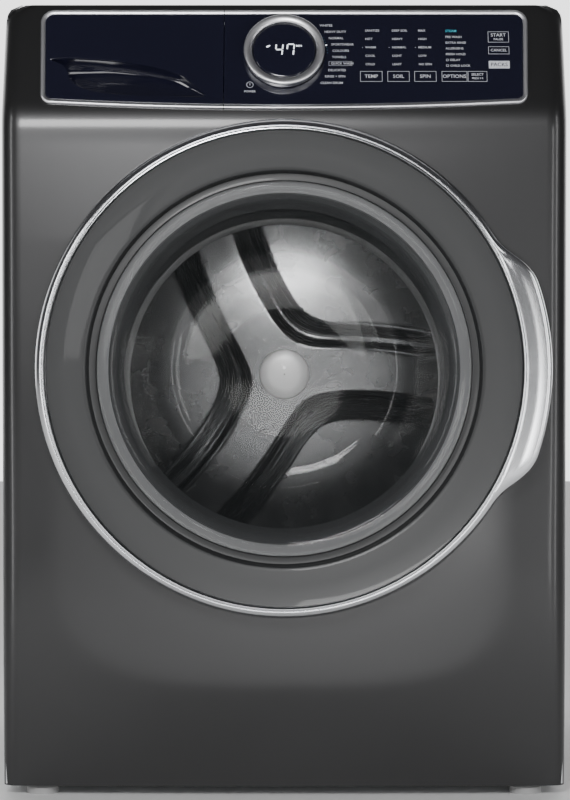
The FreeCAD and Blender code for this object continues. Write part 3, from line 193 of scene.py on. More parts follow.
def outward(piece, merge=0.00001):
    """Merge doubles and turn every face outwards."""
    pick(piece)
    start_edit()
    bpy.ops.mesh.select_all(action="SELECT")
    bpy.ops.mesh.remove_doubles(threshold=merge)
    bpy.ops.mesh.normals_make_consistent(inside=False)
    stop_edit()


def apply_modifiers(piece):
    pick(piece)
    for modifier in list(piece.modifiers):
        bpy.ops.object.modifier_apply(modifier=modifier.name)


def smooth(piece, degrees=35):
    pick(piece)
    bpy.ops.object.shade_smooth_by_angle(angle=math.radians(degrees))


def dress(piece, material):
    piece.data.materials.clear()
    piece.data.materials.append(material)


def carve(piece, cutter, operation="DIFFERENCE"):
    """Apply a boolean and throw the cutter away."""
    modifier = piece.modifiers.new("Carve", "BOOLEAN")
    modifier.operation = operation
    modifier.solver = "EXACT"
    modifier.object = cutter
    apply_modifiers(piece)
    bpy.data.objects.remove(cutter, do_unlink=True)


def panel_point(across, up):
    """A point of the front panel: across -1 to 1 round the plan section, up 0 to 1 from floor edge to top."""
    flat = HALF_WIDE - CORNER
    arc = CORNER * math.pi / 2
    side = 0.050
    run = abs(across) * (flat + arc + side)
    if run < flat:
        x, back = run, 0.0
    elif run < flat + arc:
        turn = (run - flat) / CORNER
        x, back = flat + CORNER * math.sin(turn), CORNER * (1 - math.cos(turn))
    else:
        x, back = HALF_WIDE, CORNER + run - flat - arc
    z = BOTTOM_Z + up * (TOP_Z - BOTTOM_Z)
    soft = 0.016
    rise = z - BEND_Z
    if rise > soft:
        lean = rise * math.tan(LEAN)
    elif rise > -soft:
        lean = (rise + soft) ** 2 / (4 * soft) * math.tan(LEAN)
    else:
        lean = 0.0
    crease = ((x / 0.282) ** 3.5 + (max(0.0, 0.330 - z) / 0.195) ** 3.5) ** (1 / 3.5) - 1
    fall = 0.0260 * (math.sqrt(crease * crease + 0.0016) + crease) / 2 * min(1.0,
        max(0.0, (0.52 - z) / 0.2))
    fall *= 1 - min(1.0, max(0.0, (run - flat) / (arc + side)))
    crown = 0.0045 * (1 - (x / HALF_WIDE) ** 2) * min(1.0, max(0.0, (BEND_Z - 0.03 - z) / 0.12))
    y = min(FRONT_Y + lean + back + fall - crown, RETURN_Y)
    if z > TOP_Z - TOP_ROUND:
        level = z - (TOP_Z - TOP_ROUND)
        x *= (HALF_WIDE - TOP_ROUND + math.sqrt(max(0.0, TOP_ROUND ** 2 - level ** 2))) / HALF_WIDE
    return Vector((math.copysign(x, across), y, z))


clear_selection()
PANEL_COLUMNS, PANEL_ROWS = 150, 170
bpy.ops.mesh.primitive_grid_add(x_subdivisions=PANEL_COLUMNS, y_subdivisions=PANEL_ROWS, size=2)
front_skin = begin("front_skin")
for vertex in front_skin.data.vertices:
    height = (vertex.co.y + 1) / 2
    vertex.co = panel_point(vertex.co.x, height)
pick(front_skin)
start_edit()
bpy.ops.mesh.select_all(action="DESELECT")
stop_edit()
for edge in front_skin.data.edges:
    ends = [front_skin.data.vertices[index].co for index in edge.vertices]
    edge.select = all(end.z > TOP_Z - 1e-5 for end in ends)
bpy.ops.object.mode_set(mode="EDIT")
bpy.ops.mesh.select_mode(type="EDGE")
bpy.ops.mesh.extrude_edges_move(TRANSFORM_OT_translate={"value": (0, 0, -0.0006)})
stop_edit()
for vertex in front_skin.data.vertices:
    if vertex.select:
        vertex.co.y = RETURN_Y
solid = front_skin.modifiers.new("Sheet", "SOLIDIFY")
solid.thickness = 0.0015
solid.offset = 1
apply_modifiers(front_skin)
clear_selection()
bpy.ops.mesh.primitive_cylinder_add(vertices=192, radius=0.2222, depth=0.12, location=(0, FRONT_Y, DOOR_Z),
                                    rotation=(math.pi / 2, 0, 0))
carve(front_skin, begin("door_hole_cutter"))
clear_selection()
bpy.ops.mesh.primitive_cube_add(size=1, location=(0, 0, 0))
console_cutter = begin("console_cutter")
SLOPE = Matrix.Translation((0, FRONT_Y, BEND_Z)) @ Matrix.Rotation(-LEAN, 4, "X")
console_cutter.data.transform(SLOPE @ Matrix.Translation((0, 0, 0.082)) @ Matrix.Diagonal((0.585, 0.08,
    0.112, 1)))
carve(front_skin, console_cutter)
clear_selection()
bpy.ops.mesh.primitive_cube_add(size=1, location=(0.255, FRONT_Y, DOOR_Z), scale=(0.018, 0.03, 0.028))
carve(front_skin, begin("catch_cutter"))
smooth(front_skin, 40)
dress(front_skin, graphite)
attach(front_skin, "cabinet")
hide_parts("front_panel")
for name in ("side_panel_left", "side_panel_right", "top_panel"):
    dress(nodes[name], graphite)

# ---- Door ring and grip ----------------------------------------------------------------------
# Injection moulded ring, chrome plated bright, with a raised bead inside and a broad grip that
# swells out of its right side; the fingers go behind the grip.
chrome = mottled("bright_chrome", (0.86, 0.87, 0.89), (0.80, 0.81, 0.83), 0.19, 0.05, 14.0, metallic=1.0,
                 grain=0.015, grain_scale=700.0)


def lathe(name, profile, height, steps=192, across=0.0, close=True):
    """A turned piece about the Y axis: a circle drawn out and resized from one (y, radius) to the next."""
    clear_selection()
    first_y, first_radius = profile[0]
    bpy.ops.mesh.primitive_circle_add(vertices=steps, radius=first_radius, fill_type="NOTHING",
                                      location=(across, first_y, height), rotation=(math.pi / 2, 0, 0))
    piece = begin(name)
    start_edit()
    bpy.ops.mesh.select_all(action="SELECT")
    radius, y = first_radius, first_y
    for next_y, next_radius in profile[1:]:
        bpy.ops.mesh.extrude_edges_move(TRANSFORM_OT_translate={"value": (0, next_y - y, 0)})
        ratio = next_radius / radius
        bpy.ops.transform.resize(value=(ratio, 1, ratio), center_override=(across, next_y, height))
        radius, y = next_radius, next_y
    if close:
        bpy.ops.mesh.select_mode(type="EDGE")
        bpy.ops.mesh.select_all(action="DESELECT")
        bpy.ops.mesh.select_non_manifold()
        bpy.ops.mesh.bridge_edge_loops()
    stop_edit()
    outward(piece)
    return piece


PLAIN_RING = [(-0.3925, 0.2867), (-0.3985, 0.2867), (-0.4000, 0.2877), (-0.4000, 0.2891), (-0.3988, 0.2902),
              (-0.3972, 0.2909), (-0.3978, 0.2918), (-0.3972, 0.2932), (-0.3955, 0.2952), (-0.3930, 0.2972),
              (-0.3895, 0.2988), (-0.3840, 0.2998), (-0.3790, 0.3000), (-0.3700, 0.3000), (-0.3530, 0.2998),
              (-0.3530, 0.2972), (-0.3780, 0.2970), (-0.3880, 0.2940), (-0.3925, 0.2900)]
GRIP_RING = [(-0.3925, 0.2867), (-0.3985, 0.2867), (-0.4000, 0.2877), (-0.4000, 0.2891), (-0.3988, 0.2902),
             (-0.3968, 0.2912), (-0.3968, 0.2940), (-0.3960, 0.3000), (-0.3956, 0.3070), (-0.3962, 0.3150),
             (-0.3955, 0.3195), (-0.3925, 0.3215), (-0.3880, 0.3205), (-0.3862, 0.3150), (-0.3840, 0.3000),
             (-0.3530, 0.2972), (-0.3780, 0.2970), (-0.3880, 0.2940), (-0.3925, 0.2900)]


def grip_share(angle):
    """How far the grip has grown at an angle in degrees: 1 on the grip, falling smoothly to 0 at the ring."""
    fade = min(1.0, max(0.0, (33.5 - abs(angle)) / 15.5))
    return fade * fade * fade * (fade * (6 * fade - 15) + 10)


door_ring = lathe("bright_ring", PLAIN_RING, DOOR_Z, steps=288)
GROWTH = {}
for (plain_y, plain_radius), (grip_y, grip_radius) in zip(PLAIN_RING, GRIP_RING):
    GROWTH[(round(plain_y, 4), round(plain_radius, 4))] = (grip_y - plain_y, grip_radius - plain_radius)
for vertex in door_ring.data.vertices:
    x, z = vertex.co.x, vertex.co.z - DOOR_Z
    radius = math.hypot(x, z)
    share = grip_share(math.degrees(math.atan2(z, x)))
    more_y, more_radius = GROWTH[(round(vertex.co.y, 4), round(radius, 4))]
    grown = radius + share * more_radius
    vertex.co = (x * grown / radius, vertex.co.y + share * more_y, DOOR_Z + z * grown / radius)
clear_selection()
bpy.ops.mesh.primitive_cube_add(size=1, location=(-0.281, -0.364, DOOR_Z), scale=(0.06, 0.042, 0.128))
carve(door_ring, begin("hinge_notch_cutter"))
smooth(door_ring, 50)
dress(door_ring, chrome)
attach(door_ring, "door")
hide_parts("door_ring")

# ---- Door bezel ------------------------------------------------------------------------------
# Satin dark grey moulding between ring and glass, with a narrow dark groove at its inner edge.
satin_grey = mottled("satin_bezel", (0.016, 0.017, 0.018), (0.021, 0.022, 0.023), 0.42, 0.05, 9.0,
                     coat=0.1, grain=0.12, grain_scale=1800.0)
door_bezel = lathe("dark_bezel", [
    (-0.3925, 0.2862), (-0.3962, 0.2858), (-0.3968, 0.2845), (-0.3955, 0.2800), (-0.3920, 0.2600),
    (-0.3895, 0.2430),
    (-0.3888, 0.2395), (-0.3880, 0.2383), (-0.3860, 0.2374), (-0.3790, 0.2366), (-0.3762, 0.2350),
    (-0.3758, 0.2290),
    (-0.3764, 0.2268), (-0.3745, 0.2262), (-0.3710, 0.2264), (-0.3710, 0.2388), (-0.3850, 0.2410),
    (-0.3895, 0.2620)],
    DOOR_Z)
smooth(door_bezel, 40)
dress(door_bezel, satin_grey)
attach(door_bezel, "door")
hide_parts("door_bezel")

# ---- Door glass ------------------------------------------------------------------------------
# Pressed clear glass bowl with two soft ridges round its flange; its end leans into the drum.
bowl_glass, glass_place, glass_shader = finish_of("bowl_glass", (0.015, 0.017, 0.018), 0.04, IOR=1.5)
# Alpha rises where the glass is seen edge-on, so the near black glass turns darker towards its rim by viewing
# angle: painted shade standing in for its edge-on reflection.
edge_on_painted_shade = glass_place.node("ShaderNodeLayerWeight", {}, {"Blend": 0.28}, 1)
wisps = glass_place.noise(7.0, 2.0)
feed(0.14 + edge_on_painted_shade * 0.80 + (wisps - 0.5) * 0.03, glass_shader["Alpha"])
feed(0.03 + wisps * 0.03, glass_shader["Roughness"])
glass_shader["Specular IOR Level"].default_value = 0.55
glass_shader["Coat Weight"].default_value = 0.45
door_glass = lathe("glass_bowl", [
    (-0.3795, 0.2256), (-0.3800, 0.2240), (-0.3816, 0.2215), (-0.3800, 0.2180), (-0.3818, 0.2145),
    (-0.3800, 0.2110),
    (-0.3785, 0.2070), (-0.3740, 0.2020), (-0.3640, 0.1980), (-0.3480, 0.1895), (-0.3200, 0.1775),
    (-0.2900, 0.1650),
    (-0.2650, 0.1545), (-0.2530, 0.1470), (-0.2465, 0.1370), (-0.2440, 0.1200), (-0.2425, 0.0700),
    (-0.2420, 0.0020),
    (-0.2400, 0.0020), (-0.2402, 0.0700), (-0.2405, 0.1240), (-0.2420, 0.1380), (-0.2500, 0.1495),
    (-0.2640, 0.1580),
    (-0.2900, 0.1680), (-0.3200, 0.1805), (-0.3480, 0.1930), (-0.3620, 0.1995), (-0.3720, 0.2050),
    (-0.3745, 0.2100),
    (-0.3745, 0.2256)], DOOR_Z)
smooth(door_glass, 60)
dress(door_glass, bowl_glass)
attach(door_glass, "door")
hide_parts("door_glass")

# ---- Door gasket -----------------------------------------------------------------------------
# Moulded grey rubber bellows clamped to the front panel and to the mouth of the tub; its folds
# take up the tub's movement.
DRUM_Z = 0.509
rubber_grey = mottled("gasket_rubber", (0.085, 0.088, 0.092), (0.11, 0.113, 0.117), 0.52, 0.1, 18.0,
                      grain=0.2, grain_scale=1400.0)
gasket = lathe("bellows", [
    (-0.3500, 0.2190), (-0.3505, 0.2160), (-0.3480, 0.2110), (-0.3440, 0.2090), (-0.3400, 0.1990),
    (-0.3370, 0.1945),
    (-0.3350, 0.1950), (-0.3345, 0.2030), (-0.3330, 0.2110), (-0.3280, 0.2130), (-0.3230, 0.2070),
    (-0.3190, 0.2060),
    (-0.3150, 0.2110), (-0.3100, 0.2130), (-0.3050, 0.2080), (-0.3000, 0.2060), (-0.2950, 0.2080),
    (-0.2900, 0.2090),
    (-0.2850, 0.2070), (-0.2815, 0.1990), (-0.2800, 0.1990), (-0.2803, 0.2063), (-0.2680, 0.2064),
    (-0.2670, 0.2100),
    (-0.2850, 0.2125), (-0.2950, 0.2120), (-0.3050, 0.2125), (-0.3110, 0.2165), (-0.3180, 0.2120),
    (-0.3270, 0.2165),
    (-0.3350, 0.2200), (-0.3380, 0.2212), (-0.3460, 0.2212)], DOOR_Z, steps=160)
for vertex in gasket.data.vertices:
    share = min(1.0, max(0.0, (vertex.co.y + 0.340) / 0.055))
    vertex.co.z += (DRUM_Z - DOOR_Z) * share * share * (3 - 2 * share)
smooth(gasket, 60)
dress(gasket, rubber_grey)
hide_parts("door_gasket")
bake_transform(gasket)

# ---- Drum ------------------------------------------------------------------------------------
# Perforated stainless sheet rolled into a shell, and a deep drawn back whose three arms meet at
# a pressed hub; the pads between the arms lie deeper.
stainless, steel_place, steel_shader = finish_of("drum_steel", (0.165, 0.168, 0.17), 0.26, 0.9)
brushed = steel_place.node("ShaderNodeMapping", {}, {"Vector": steel_place, "Scale": (1.0, 40.0, 1.0)})
streak = brushed.noise(30.0, 3.0)
feed(streak.blend((0.13, 0.132, 0.134, 1), (0.20, 0.203, 0.206, 1)), steel_shader["Base Color"])
feed(0.18 + streak * 0.16, steel_shader["Roughness"])
feed(streak.bump(0.04, 0.0004), steel_shader["Normal"])

perforated, hole_place, hole_shader = finish_of("perforated_steel", (0.42, 0.43, 0.44), 0.32, 0.9)
parts_of = hole_place.node("ShaderNodeSeparateXYZ", {}, {"Vector": hole_place})
drum_x = parts_of
drum_y = Socket(parts_of.tree, parts_of.link.node.outputs["Y"])
drum_up = Socket(parts_of.tree, parts_of.link.node.outputs["Z"]) - DRUM_Z
turn_at = drum_up.node("ShaderNodeMath", {"operation": "ARCTAN2"}, {0: drum_up, 1: drum_x})
HOLES_ROUND, HOLE_PITCH = 250.0, 0.0071
cell_a = (turn_at * (HOLES_ROUND / (2 * math.pi))).maths("FRACT") - 0.5
cell_b = (drum_y * (1 / HOLE_PITCH)).maths("FRACT") - 0.5
from_hole = (cell_a * cell_a + cell_b * cell_b).maths("SQRT")
hole = from_hole.maths("LESS_THAN", 0.20)
feed(hole.blend((0.30, 0.303, 0.306, 1), (0.012, 0.012, 0.013, 1)), hole_shader["Base Color"])
feed(0.30 + hole * 0.5, hole_shader["Roughness"])
drum_shell = lathe("drum_wall", [
    (-0.2400, 0.1930), (-0.2480, 0.1925), (-0.2498, 0.1950), (-0.2500, 0.2000), (-0.2500, 0.2680),
    (-0.2470, 0.2760),
    (-0.2380, 0.2836), (-0.2300, 0.2840), (-0.1000, 0.2840), (0.0500, 0.2840), (0.2055, 0.2840),
    (0.2055, 0.2826),
    (0.0500, 0.2826), (-0.1000, 0.2826), (-0.2300, 0.2826), (-0.2370, 0.2820), (-0.2450, 0.2750),
    (-0.2482, 0.2670),
    (-0.2484, 0.2000), (-0.2470, 0.1960), (-0.2400, 0.1950)], DRUM_Z)
smooth(drum_shell, 50)
dress(drum_shell, perforated)
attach(drum_shell, "drum")
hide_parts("drum_shell")

ARMS = [math.radians(3 + step) for step in (0, 120, 240)]
BACK_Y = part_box("drum_back")[1][1]


def pressed_depth(x, z):
    """How deep the drum back is pressed: the arms and the middle stand forward, the pads lie back."""
    radius = math.hypot(x, z)
    angle = math.atan2(z, x) + 0.9 * (radius - 0.11)
    near = min(abs(math.remainder(angle - arm, 2 * math.pi)) for arm in ARMS)
    apart = [radius * math.sin(min(near, math.pi / 2)),
             radius * math.sin(min(2 * math.pi / 3 - near, math.pi / 2))]
    sharp = 60.0
    inside = -math.log(sum(math.exp(-sharp * item) for item in apart)) / sharp
    step = min(1.0, max(0.0, (inside - 0.030) / 0.036))
    shelf = 0.45 * min(1.0, step / 0.30) + 0.55 * max(0.0, (step - 0.42) / 0.58)
    edge = min(1.0, max(0.0, (0.278 - radius) / 0.02))
    return 0.024 * shelf * edge, edge


clear_selection()
bpy.ops.mesh.primitive_circle_add(vertices=240, radius=0.2822, fill_type="NOTHING",
    location=(0, BACK_Y, DRUM_Z),
                                  rotation=(math.pi / 2, 0, 0))
drum_back = begin("drum_pressed_back")
start_edit()
bpy.ops.mesh.select_all(action="SELECT")
BACK_RINGS = 110
for ring in range(BACK_RINGS, 1, -1):
    bpy.ops.mesh.extrude_edges_move(TRANSFORM_OT_translate={"value": (0, 0, 0)})
    ratio = (ring - 1) / ring
    bpy.ops.transform.resize(value=(ratio, 1, ratio), center_override=(0, BACK_Y, DRUM_Z))
bpy.ops.mesh.edge_face_add()
stop_edit()
for vertex in drum_back.data.vertices:
    depth, edge = pressed_depth(vertex.co.x, vertex.co.z - DRUM_Z)
    vertex.co.y = BACK_Y - 0.027 * edge + depth
outward(drum_back)
solid = drum_back.modifiers.new("Sheet", "SOLIDIFY")
solid.thickness = 0.0012
apply_modifiers(drum_back)
smooth(drum_back, 60)
dress(drum_back, stainless)
hub_cap = lathe("drum_hub_cap", [(0.1735, 0.0352), (0.1710, 0.0345), (0.1690, 0.0320), (0.1680, 0.0200),
    (0.1675, 0.0010),
                                 (0.1740, 0.0010)], DRUM_Z, steps=96)
smooth(hub_cap, 50)
# The hub cap is painted near white: a painted highlight standing in for the bright reflection at the drum's
# middle.
hub_painted_highlight = mottled("hub_painted_highlight_white", (0.92, 0.92, 0.92), (0.88, 0.88, 0.88), 0.40, 0.05, 30.0, metallic=0.25)
dress(hub_cap, hub_painted_highlight)
for piece in (drum_back, hub_cap):
    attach(piece, "drum")
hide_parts("drum_back")
dress(nodes["drum_lifters"], stainless)
for name in ("drum_spider", "drum_pulley"):
    dress(nodes[name], stainless)
# ---- Console trim and fascia -----------------------------------------------------------------
# A moulded gloss navy fascia in a bright chromed trim, both bowed along the foot. A narrow joint
# splits them: the left part is the front of the detergent drawer.
gloss_navy = mottled("gloss_navy", (0.0065, 0.0068, 0.0160), (0.0080, 0.0085, 0.0190), 0.13, 0.04, 6.0,
                     coat=0.7, Coat_Roughness=0.04)
satin_chrome = mottled("satin_chrome", (0.90, 0.90, 0.93), (0.84, 0.84, 0.87), 0.36, 0.05, 18.0,
    metallic=1.0,
                       grain=0.05, grain_scale=1600.0)
SPLIT_X = -0.0737
FACE_TOP = 0.147


def console_outline(inset):
    """The console's edge as (across, up the slope), anticlockwise from the right, pulled in by inset."""
    outline = []
    top, foot = 0.2995 - inset, 0.2965 - inset
    high = FACE_TOP - inset
    corner = 0.017 - inset
    for middle, side, start in ((top, 1, 0), (top, -1, 90)):
        for step in range(17):
            turn = math.radians(start + step * 90 / 16)
            outline.append((side * (middle - corner) + corner * math.cos(turn),
                high - corner + corner * math.sin(turn)))
    corner = 0.014 - inset
    low = 0.0153 + inset
    for step in range(17):
        turn = math.radians(180 + step * 82 / 16)
        outline.append((corner - foot + corner * math.cos(turn), low + corner + corner * math.sin(turn)))
    reach = foot - corner - 0.004
    for step in range(61):
        x = reach * (step / 30 - 1)
        outline.append((x, 0.0073 + inset + 0.0080 * (x / reach) ** 2))
    for step in range(17):
        turn = math.radians(278 + step * 82 / 16)
        outline.append((foot - corner + corner * math.cos(turn), low + corner + corner * math.sin(turn)))
    return outline


def sloped(name, shape, profile, close):
    """A piece on the leaning face: shape(inset) drawn out through a profile of (proud, inset)."""
    count = len(shape(0))
    piece = lathe(name, [(-proud, 1 - inset) for proud, inset in profile], 0, count, close=close)
    for vertex in piece.data.vertices:
        x, z = vertex.co.x, vertex.co.z
        index = round(math.atan2(z, x) / math.tau * count) % count
        across, up = shape(1 - math.hypot(x, z))[index]
        vertex.co = (across, vertex.co.y, up)
    if not close:
        pick(piece)
        start_edit()
        bpy.ops.mesh.select_all(action="SELECT")
        bpy.ops.mesh.fill_holes(sides=0)
        stop_edit()
    return piece


def half_cutter(right):
    """A box over one side of the console's joint, in the slope's own frame."""
    clear_selection()
    bpy.ops.mesh.primitive_cube_add(size=1, location=(SPLIT_X + (0.3004 if right else -0.3004), 0, 0.08),
                                    scale=(0.6, 0.1, 0.3))
    return begin("half_cutter")


for name, right, body in (("console_trim", True, "cabinet"), ("drawer_trim", False, "drawer")):
    trim = sloped("bright_" + name, console_outline, [
        (-0.0004, 0.0), (0.0030, 0.0), (0.0043, 0.0004), (0.0049, 0.0012), (0.0050, 0.0022),
        (0.0047, 0.0036),
        (0.0044, 0.0050), (0.0038, 0.0058), (0.0030, 0.0060), (-0.0004, 0.0060)], True)
    carve(trim, half_cutter(right), "INTERSECT")
    trim.data.transform(SLOPE)
    smooth(trim, 40)
    dress(trim, satin_chrome)
    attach(trim, body)
    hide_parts(name)
fascia = sloped("gloss_fascia", console_outline, [(-0.0004, 0.0061), (0.0032, 0.0061), (0.0035, 0.0065)],
    False)
carve(fascia, half_cutter(True), "INTERSECT")
clear_selection()
bpy.ops.mesh.primitive_cylinder_add(vertices=96, radius=0.0345, depth=0.05, location=(0, 0, 0.0843),
                                    rotation=(math.pi / 2, 0, 0))
carve(fascia, begin("knob_hole_cutter"))
fascia.data.transform(SLOPE)
smooth(fascia, 25)
dress(fascia, gloss_navy)
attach(fascia, "cabinet")
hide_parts("console_fascia")

# ---- Drawer front ----------------------------------------------------------------------------
# The same gloss moulding with a leaf shaped scoop for the fingers, deepest under its upper lip.
SCOOP = [(-0.2855, 0.0765), (-0.2760, 0.0785), (-0.2600, 0.0788), (-0.2300, 0.0772), (-0.2020, 0.0742),
         (-0.1760, 0.0700), (-0.1535, 0.0645), (-0.1370, 0.0590), (-0.1243, 0.0530), (-0.1120, 0.0435),
         (-0.1020, 0.0345), (-0.0960, 0.0270), (-0.1000, 0.0245), (-0.1250, 0.0248), (-0.1600, 0.0255),
         (-0.1950, 0.0270), (-0.2215, 0.0300), (-0.2400, 0.0345), (-0.2530, 0.0410), (-0.2605, 0.0500),
         (-0.2650, 0.0610), (-0.2705, 0.0690)]


def scoop_outline(inset):
    """The scoop's closed edge, smoothed between its points and pulled toward its middle by inset."""
    points = []
    for index, here in enumerate(SCOOP):
        before, after, last = (SCOOP[(index + step) % len(SCOOP)] for step in (-1, 1, 2))
        for step in range(4):
            t = step / 4
            points.append(tuple(0.5 * (2 * b + (c - a) * t + (2 * a - 5 * b + 4 * c - d) * t * t
                                       + (3 * b - a - 3 * c + d) * t ** 3)
                                for a, b, c, d in zip(before, here, after, last)))
    return [(x + (-0.185 - x) * inset * 8, up + (0.050 - up) * inset * 14) for x, up in reversed(points)]


drawer_front = sloped("drawer_front_panel", console_outline,
    [(-0.0165, 0.0135), (-0.0030, 0.0130), (-0.0004, 0.0061),
                                                              (0.0032, 0.0061), (0.0035, 0.0065)], False)
carve(drawer_front, half_cutter(False), "INTERSECT")
scoop = sloped("scoop_cutter", scoop_outline, [
    (0.0080, -0.0010), (0.0036, -0.0010), (0.0026, 0.0006), (0.0000, 0.0014), (-0.0060, 0.0040),
    (-0.0110, 0.0090),
    (-0.0135, 0.0150)], False)
for vertex in scoop.data.vertices:
    if vertex.co.y > 0.0005:
        vertex.co.y *= min(1.0, max(0.12, (vertex.co.z - 0.024) / 0.040))
carve(drawer_front, scoop)
drawer_front.data.transform(SLOPE)
smooth(drawer_front, 28)
dress(drawer_front, gloss_navy)
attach(drawer_front, "drawer")
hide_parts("drawer_front")

# ---- Cycle knob ------------------------------------------------------------------------------
# A deep bright ring, satin on its face, turns round a fixed gloss black display.
KNOB_UP = 0.0843
knob_ring = lathe("knob_ring", [
    (-0.0042, 0.0462), (-0.0046, 0.0474), (-0.0060, 0.0480), (-0.0110, 0.0489), (-0.0143, 0.0496),
    (-0.0156, 0.0494),
    (-0.0166, 0.0487), (-0.0170, 0.0476), (-0.0168, 0.0440), (-0.0160, 0.0412), (-0.0151, 0.0400),
    (-0.0138, 0.0393),
    (-0.0120, 0.0391), (-0.0042, 0.0391)], 0, 160)
knob_ring.data.transform(SLOPE @ Matrix.Translation((0, 0, KNOB_UP)))
smooth(knob_ring, 50)
dress(knob_ring, satin_chrome)
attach(knob_ring, "knob")
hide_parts("cycle_knob")
lens = lathe("display_window", [(-0.0010, 0.0385), (-0.0118, 0.0385), (-0.0130, 0.0381), (-0.0137, 0.0370),
                                (-0.0140, 0.0340), (-0.0140, 0.0002)], 0, 160)
lens.data.transform(SLOPE @ Matrix.Translation((0, 0, KNOB_UP)))
smooth(lens, 40)
dress(lens, gloss_navy)
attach(lens, "cabinet")
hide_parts("display_lens")

# ---- Printed legends and display -------------------------------------------------------------
# Pale screen printed words and pad outlines on the fascia, lit figures behind the display window.
# The pale and cyan inks carry a faint emission: a painted glow, since screen print gives no light of its own.
pale_ink_painted_glow = mottled("pale_ink_painted_glow", (0.42, 0.43, 0.46), (0.50, 0.51, 0.54), 0.5, 0.05, 400.0,
    Emission_Strength=0.25,
                   Emission_Color=(0.5, 0.51, 0.55, 1))
cyan_ink_painted_glow = mottled("cyan_ink_painted_glow", (0.05, 0.40, 0.50), (0.06, 0.46, 0.56), 0.5, 0.05, 400.0,
    Emission_Strength=0.2,
                   Emission_Color=(0.05, 0.4, 0.5, 1))
dim_ink = mottled("dim_ink", (0.03, 0.09, 0.14), (0.04, 0.11, 0.17), 0.5, 0.05, 400.0)
lit_white = mottled("lit_white", (0.80, 0.83, 0.85), (0.86, 0.88, 0.90), 0.4, 0.05, 300.0,
    Emission_Strength=1.1,
                    Emission_Color=(0.86, 0.93, 1.0, 1))
PRINT_OUT = 0.00362
GLASS_OUT = 0.01412
printed = []


def set_down(name, across, up, out, material, tilt=0.0):
    """Turn the flat shape that was just made onto the leaning face, out from it, and remember it."""
    piece = begin(name)
    piece.data.transform(SLOPE @ Matrix.Translation((across / 1000, -out, up / 1000))
                         @ Matrix.Rotation(math.pi / 2, 4, "X") @ Matrix.Rotation(tilt, 4, "Z"))
    dress(piece, material)
    printed.append(piece)


def word(text, across, up, size=4.2, align="LEFT", out=PRINT_OUT, material=pale_ink_painted_glow):
    clear_selection()
    bpy.ops.object.text_add()
    letters = bpy.context.object
    letters.data.body = text
    letters.data.size = size / 1000
    letters.data.align_x = align
    letters.data.align_y = "CENTER"
    letters.data.offset = 0.00004
    letters.data.resolution_u = 2
    bpy.ops.object.convert(target="MESH")
    set_down("word_" + text.replace(" ", "_"), across, up, out, material)


def outline(left, right, low, high, line=0.45):
    """The printed frame of a touch pad."""
    clear_selection()
    bpy.ops.mesh.primitive_plane_add(size=1)
    bpy.ops.transform.resize(value=((right - left) / 1000, (high - low) / 1000, 1))
    bpy.ops.object.transform_apply(scale=True)
    bpy.ops.object.mode_set(mode="EDIT")
    bpy.ops.mesh.inset(thickness=line / 1000)
    bpy.ops.mesh.delete(type="FACE")
    stop_edit()
    set_down("pad_outline", (left + right) / 2, (low + high) / 2, PRINT_OUT, pale_ink_painted_glow)


def patch(across, up, wide, high, out=PRINT_OUT, material=pale_ink_painted_glow, tilt=0.0):
    clear_selection()
    bpy.ops.mesh.primitive_plane_add(size=1)
    bpy.ops.transform.resize(value=(wide / 1000, high / 1000, 1))
    set_down("printed_patch", across, up, out, material, tilt)


def dot(across, up, radius, out=PRINT_OUT, material=pale_ink_painted_glow, hole=0.0):
    clear_selection()
    bpy.ops.mesh.primitive_circle_add(vertices=20, radius=radius / 1000, fill_type="NGON")
    if hole:
        bpy.ops.object.mode_set(mode="EDIT")
        bpy.ops.mesh.inset(thickness=(radius - hole) / 1000)
        bpy.ops.mesh.delete(type="FACE")
        stop_edit()
    set_down("printed_dot", across, up, out, material)


CYCLES = (("WHITES", 43.5, 124.9), ("HEAVY DUTY", 49.5, 115.9), ("NORMAL", 54.5, 106.8),
    ("SPORTSWEAR", 57.5, 97.8),
          ("COLOURS", 59.0, 88.9), ("TOWELS", 58.5, 79.9), ("QUICK WASH", 57.0, 70.9),
          ("DELICATES", 53.5, 61.4),
          ("RINSE + SPIN", 49.5, 52.6), ("CLEAN DRUM", 44.0, 43.5))
for text, across, up in CYCLES:
    word(text, across, up, 4.4)
outline(54.5, 83.0, 67.8, 74.0, 0.3)
COLUMNS = ((99.3, ("SANITIZE", "HOT", "WARM", "COOL", "COLD")),
    (132.1, ("DEEP SOIL", "HEAVY", "NORMAL", "LIGHT", "LEAST")),
           (164.3, ("MAX", "HIGH", "MEDIUM", "LOW", "NO SPIN")))
for across, texts in COLUMNS:
    for row, text in enumerate(texts):
        word(text, across, 117.6 - row * 11.95)
    dot(across - 3.5, 93.7, 0.5)
OPTIONS = ("PRE WASH", "EXTRA RINSE", "ALLERGENS", "FRESH HOLD", "DELAY", "CHILD LOCK")
word("STEAM", 197.7, 117.0, 4.6, material=cyan_ink_painted_glow)
for row, text in enumerate(OPTIONS):
    word(text, 197.7 + 5.0 * (row > 3), 108.5 - row * 8.15)
dot(199.5, 75.9, 1.7, hole=1.25)
outline(198.0, 201.0, 66.4, 69.4, 0.4)
for left, right, text in ((92.7, 119.7, "TEMP"), (126.0, 152.7, "SOIL"), (158.8, 185.5, "SPIN"),
    (192.2, 223.0, "OPTIONS")):
    outline(left, right, 45.4, 60.0)
    word(text, (left + right) / 2, 52.7, 6.8, "CENTER")
outline(224.0, 247.5, 45.4, 60.0)
word("SELECT", 235.7, 55.3, 4.6, "CENTER")
word("PRESS 3 S", 235.7, 50.0, 3.4, "CENTER")
outline(250.0, 275.5, 101.0, 116.3)
word("START", 262.7, 111.2, 6.4, "CENTER")
word("PAUSE", 262.7, 105.3, 4.2, "CENTER")
outline(250.0, 275.5, 84.2, 95.0)
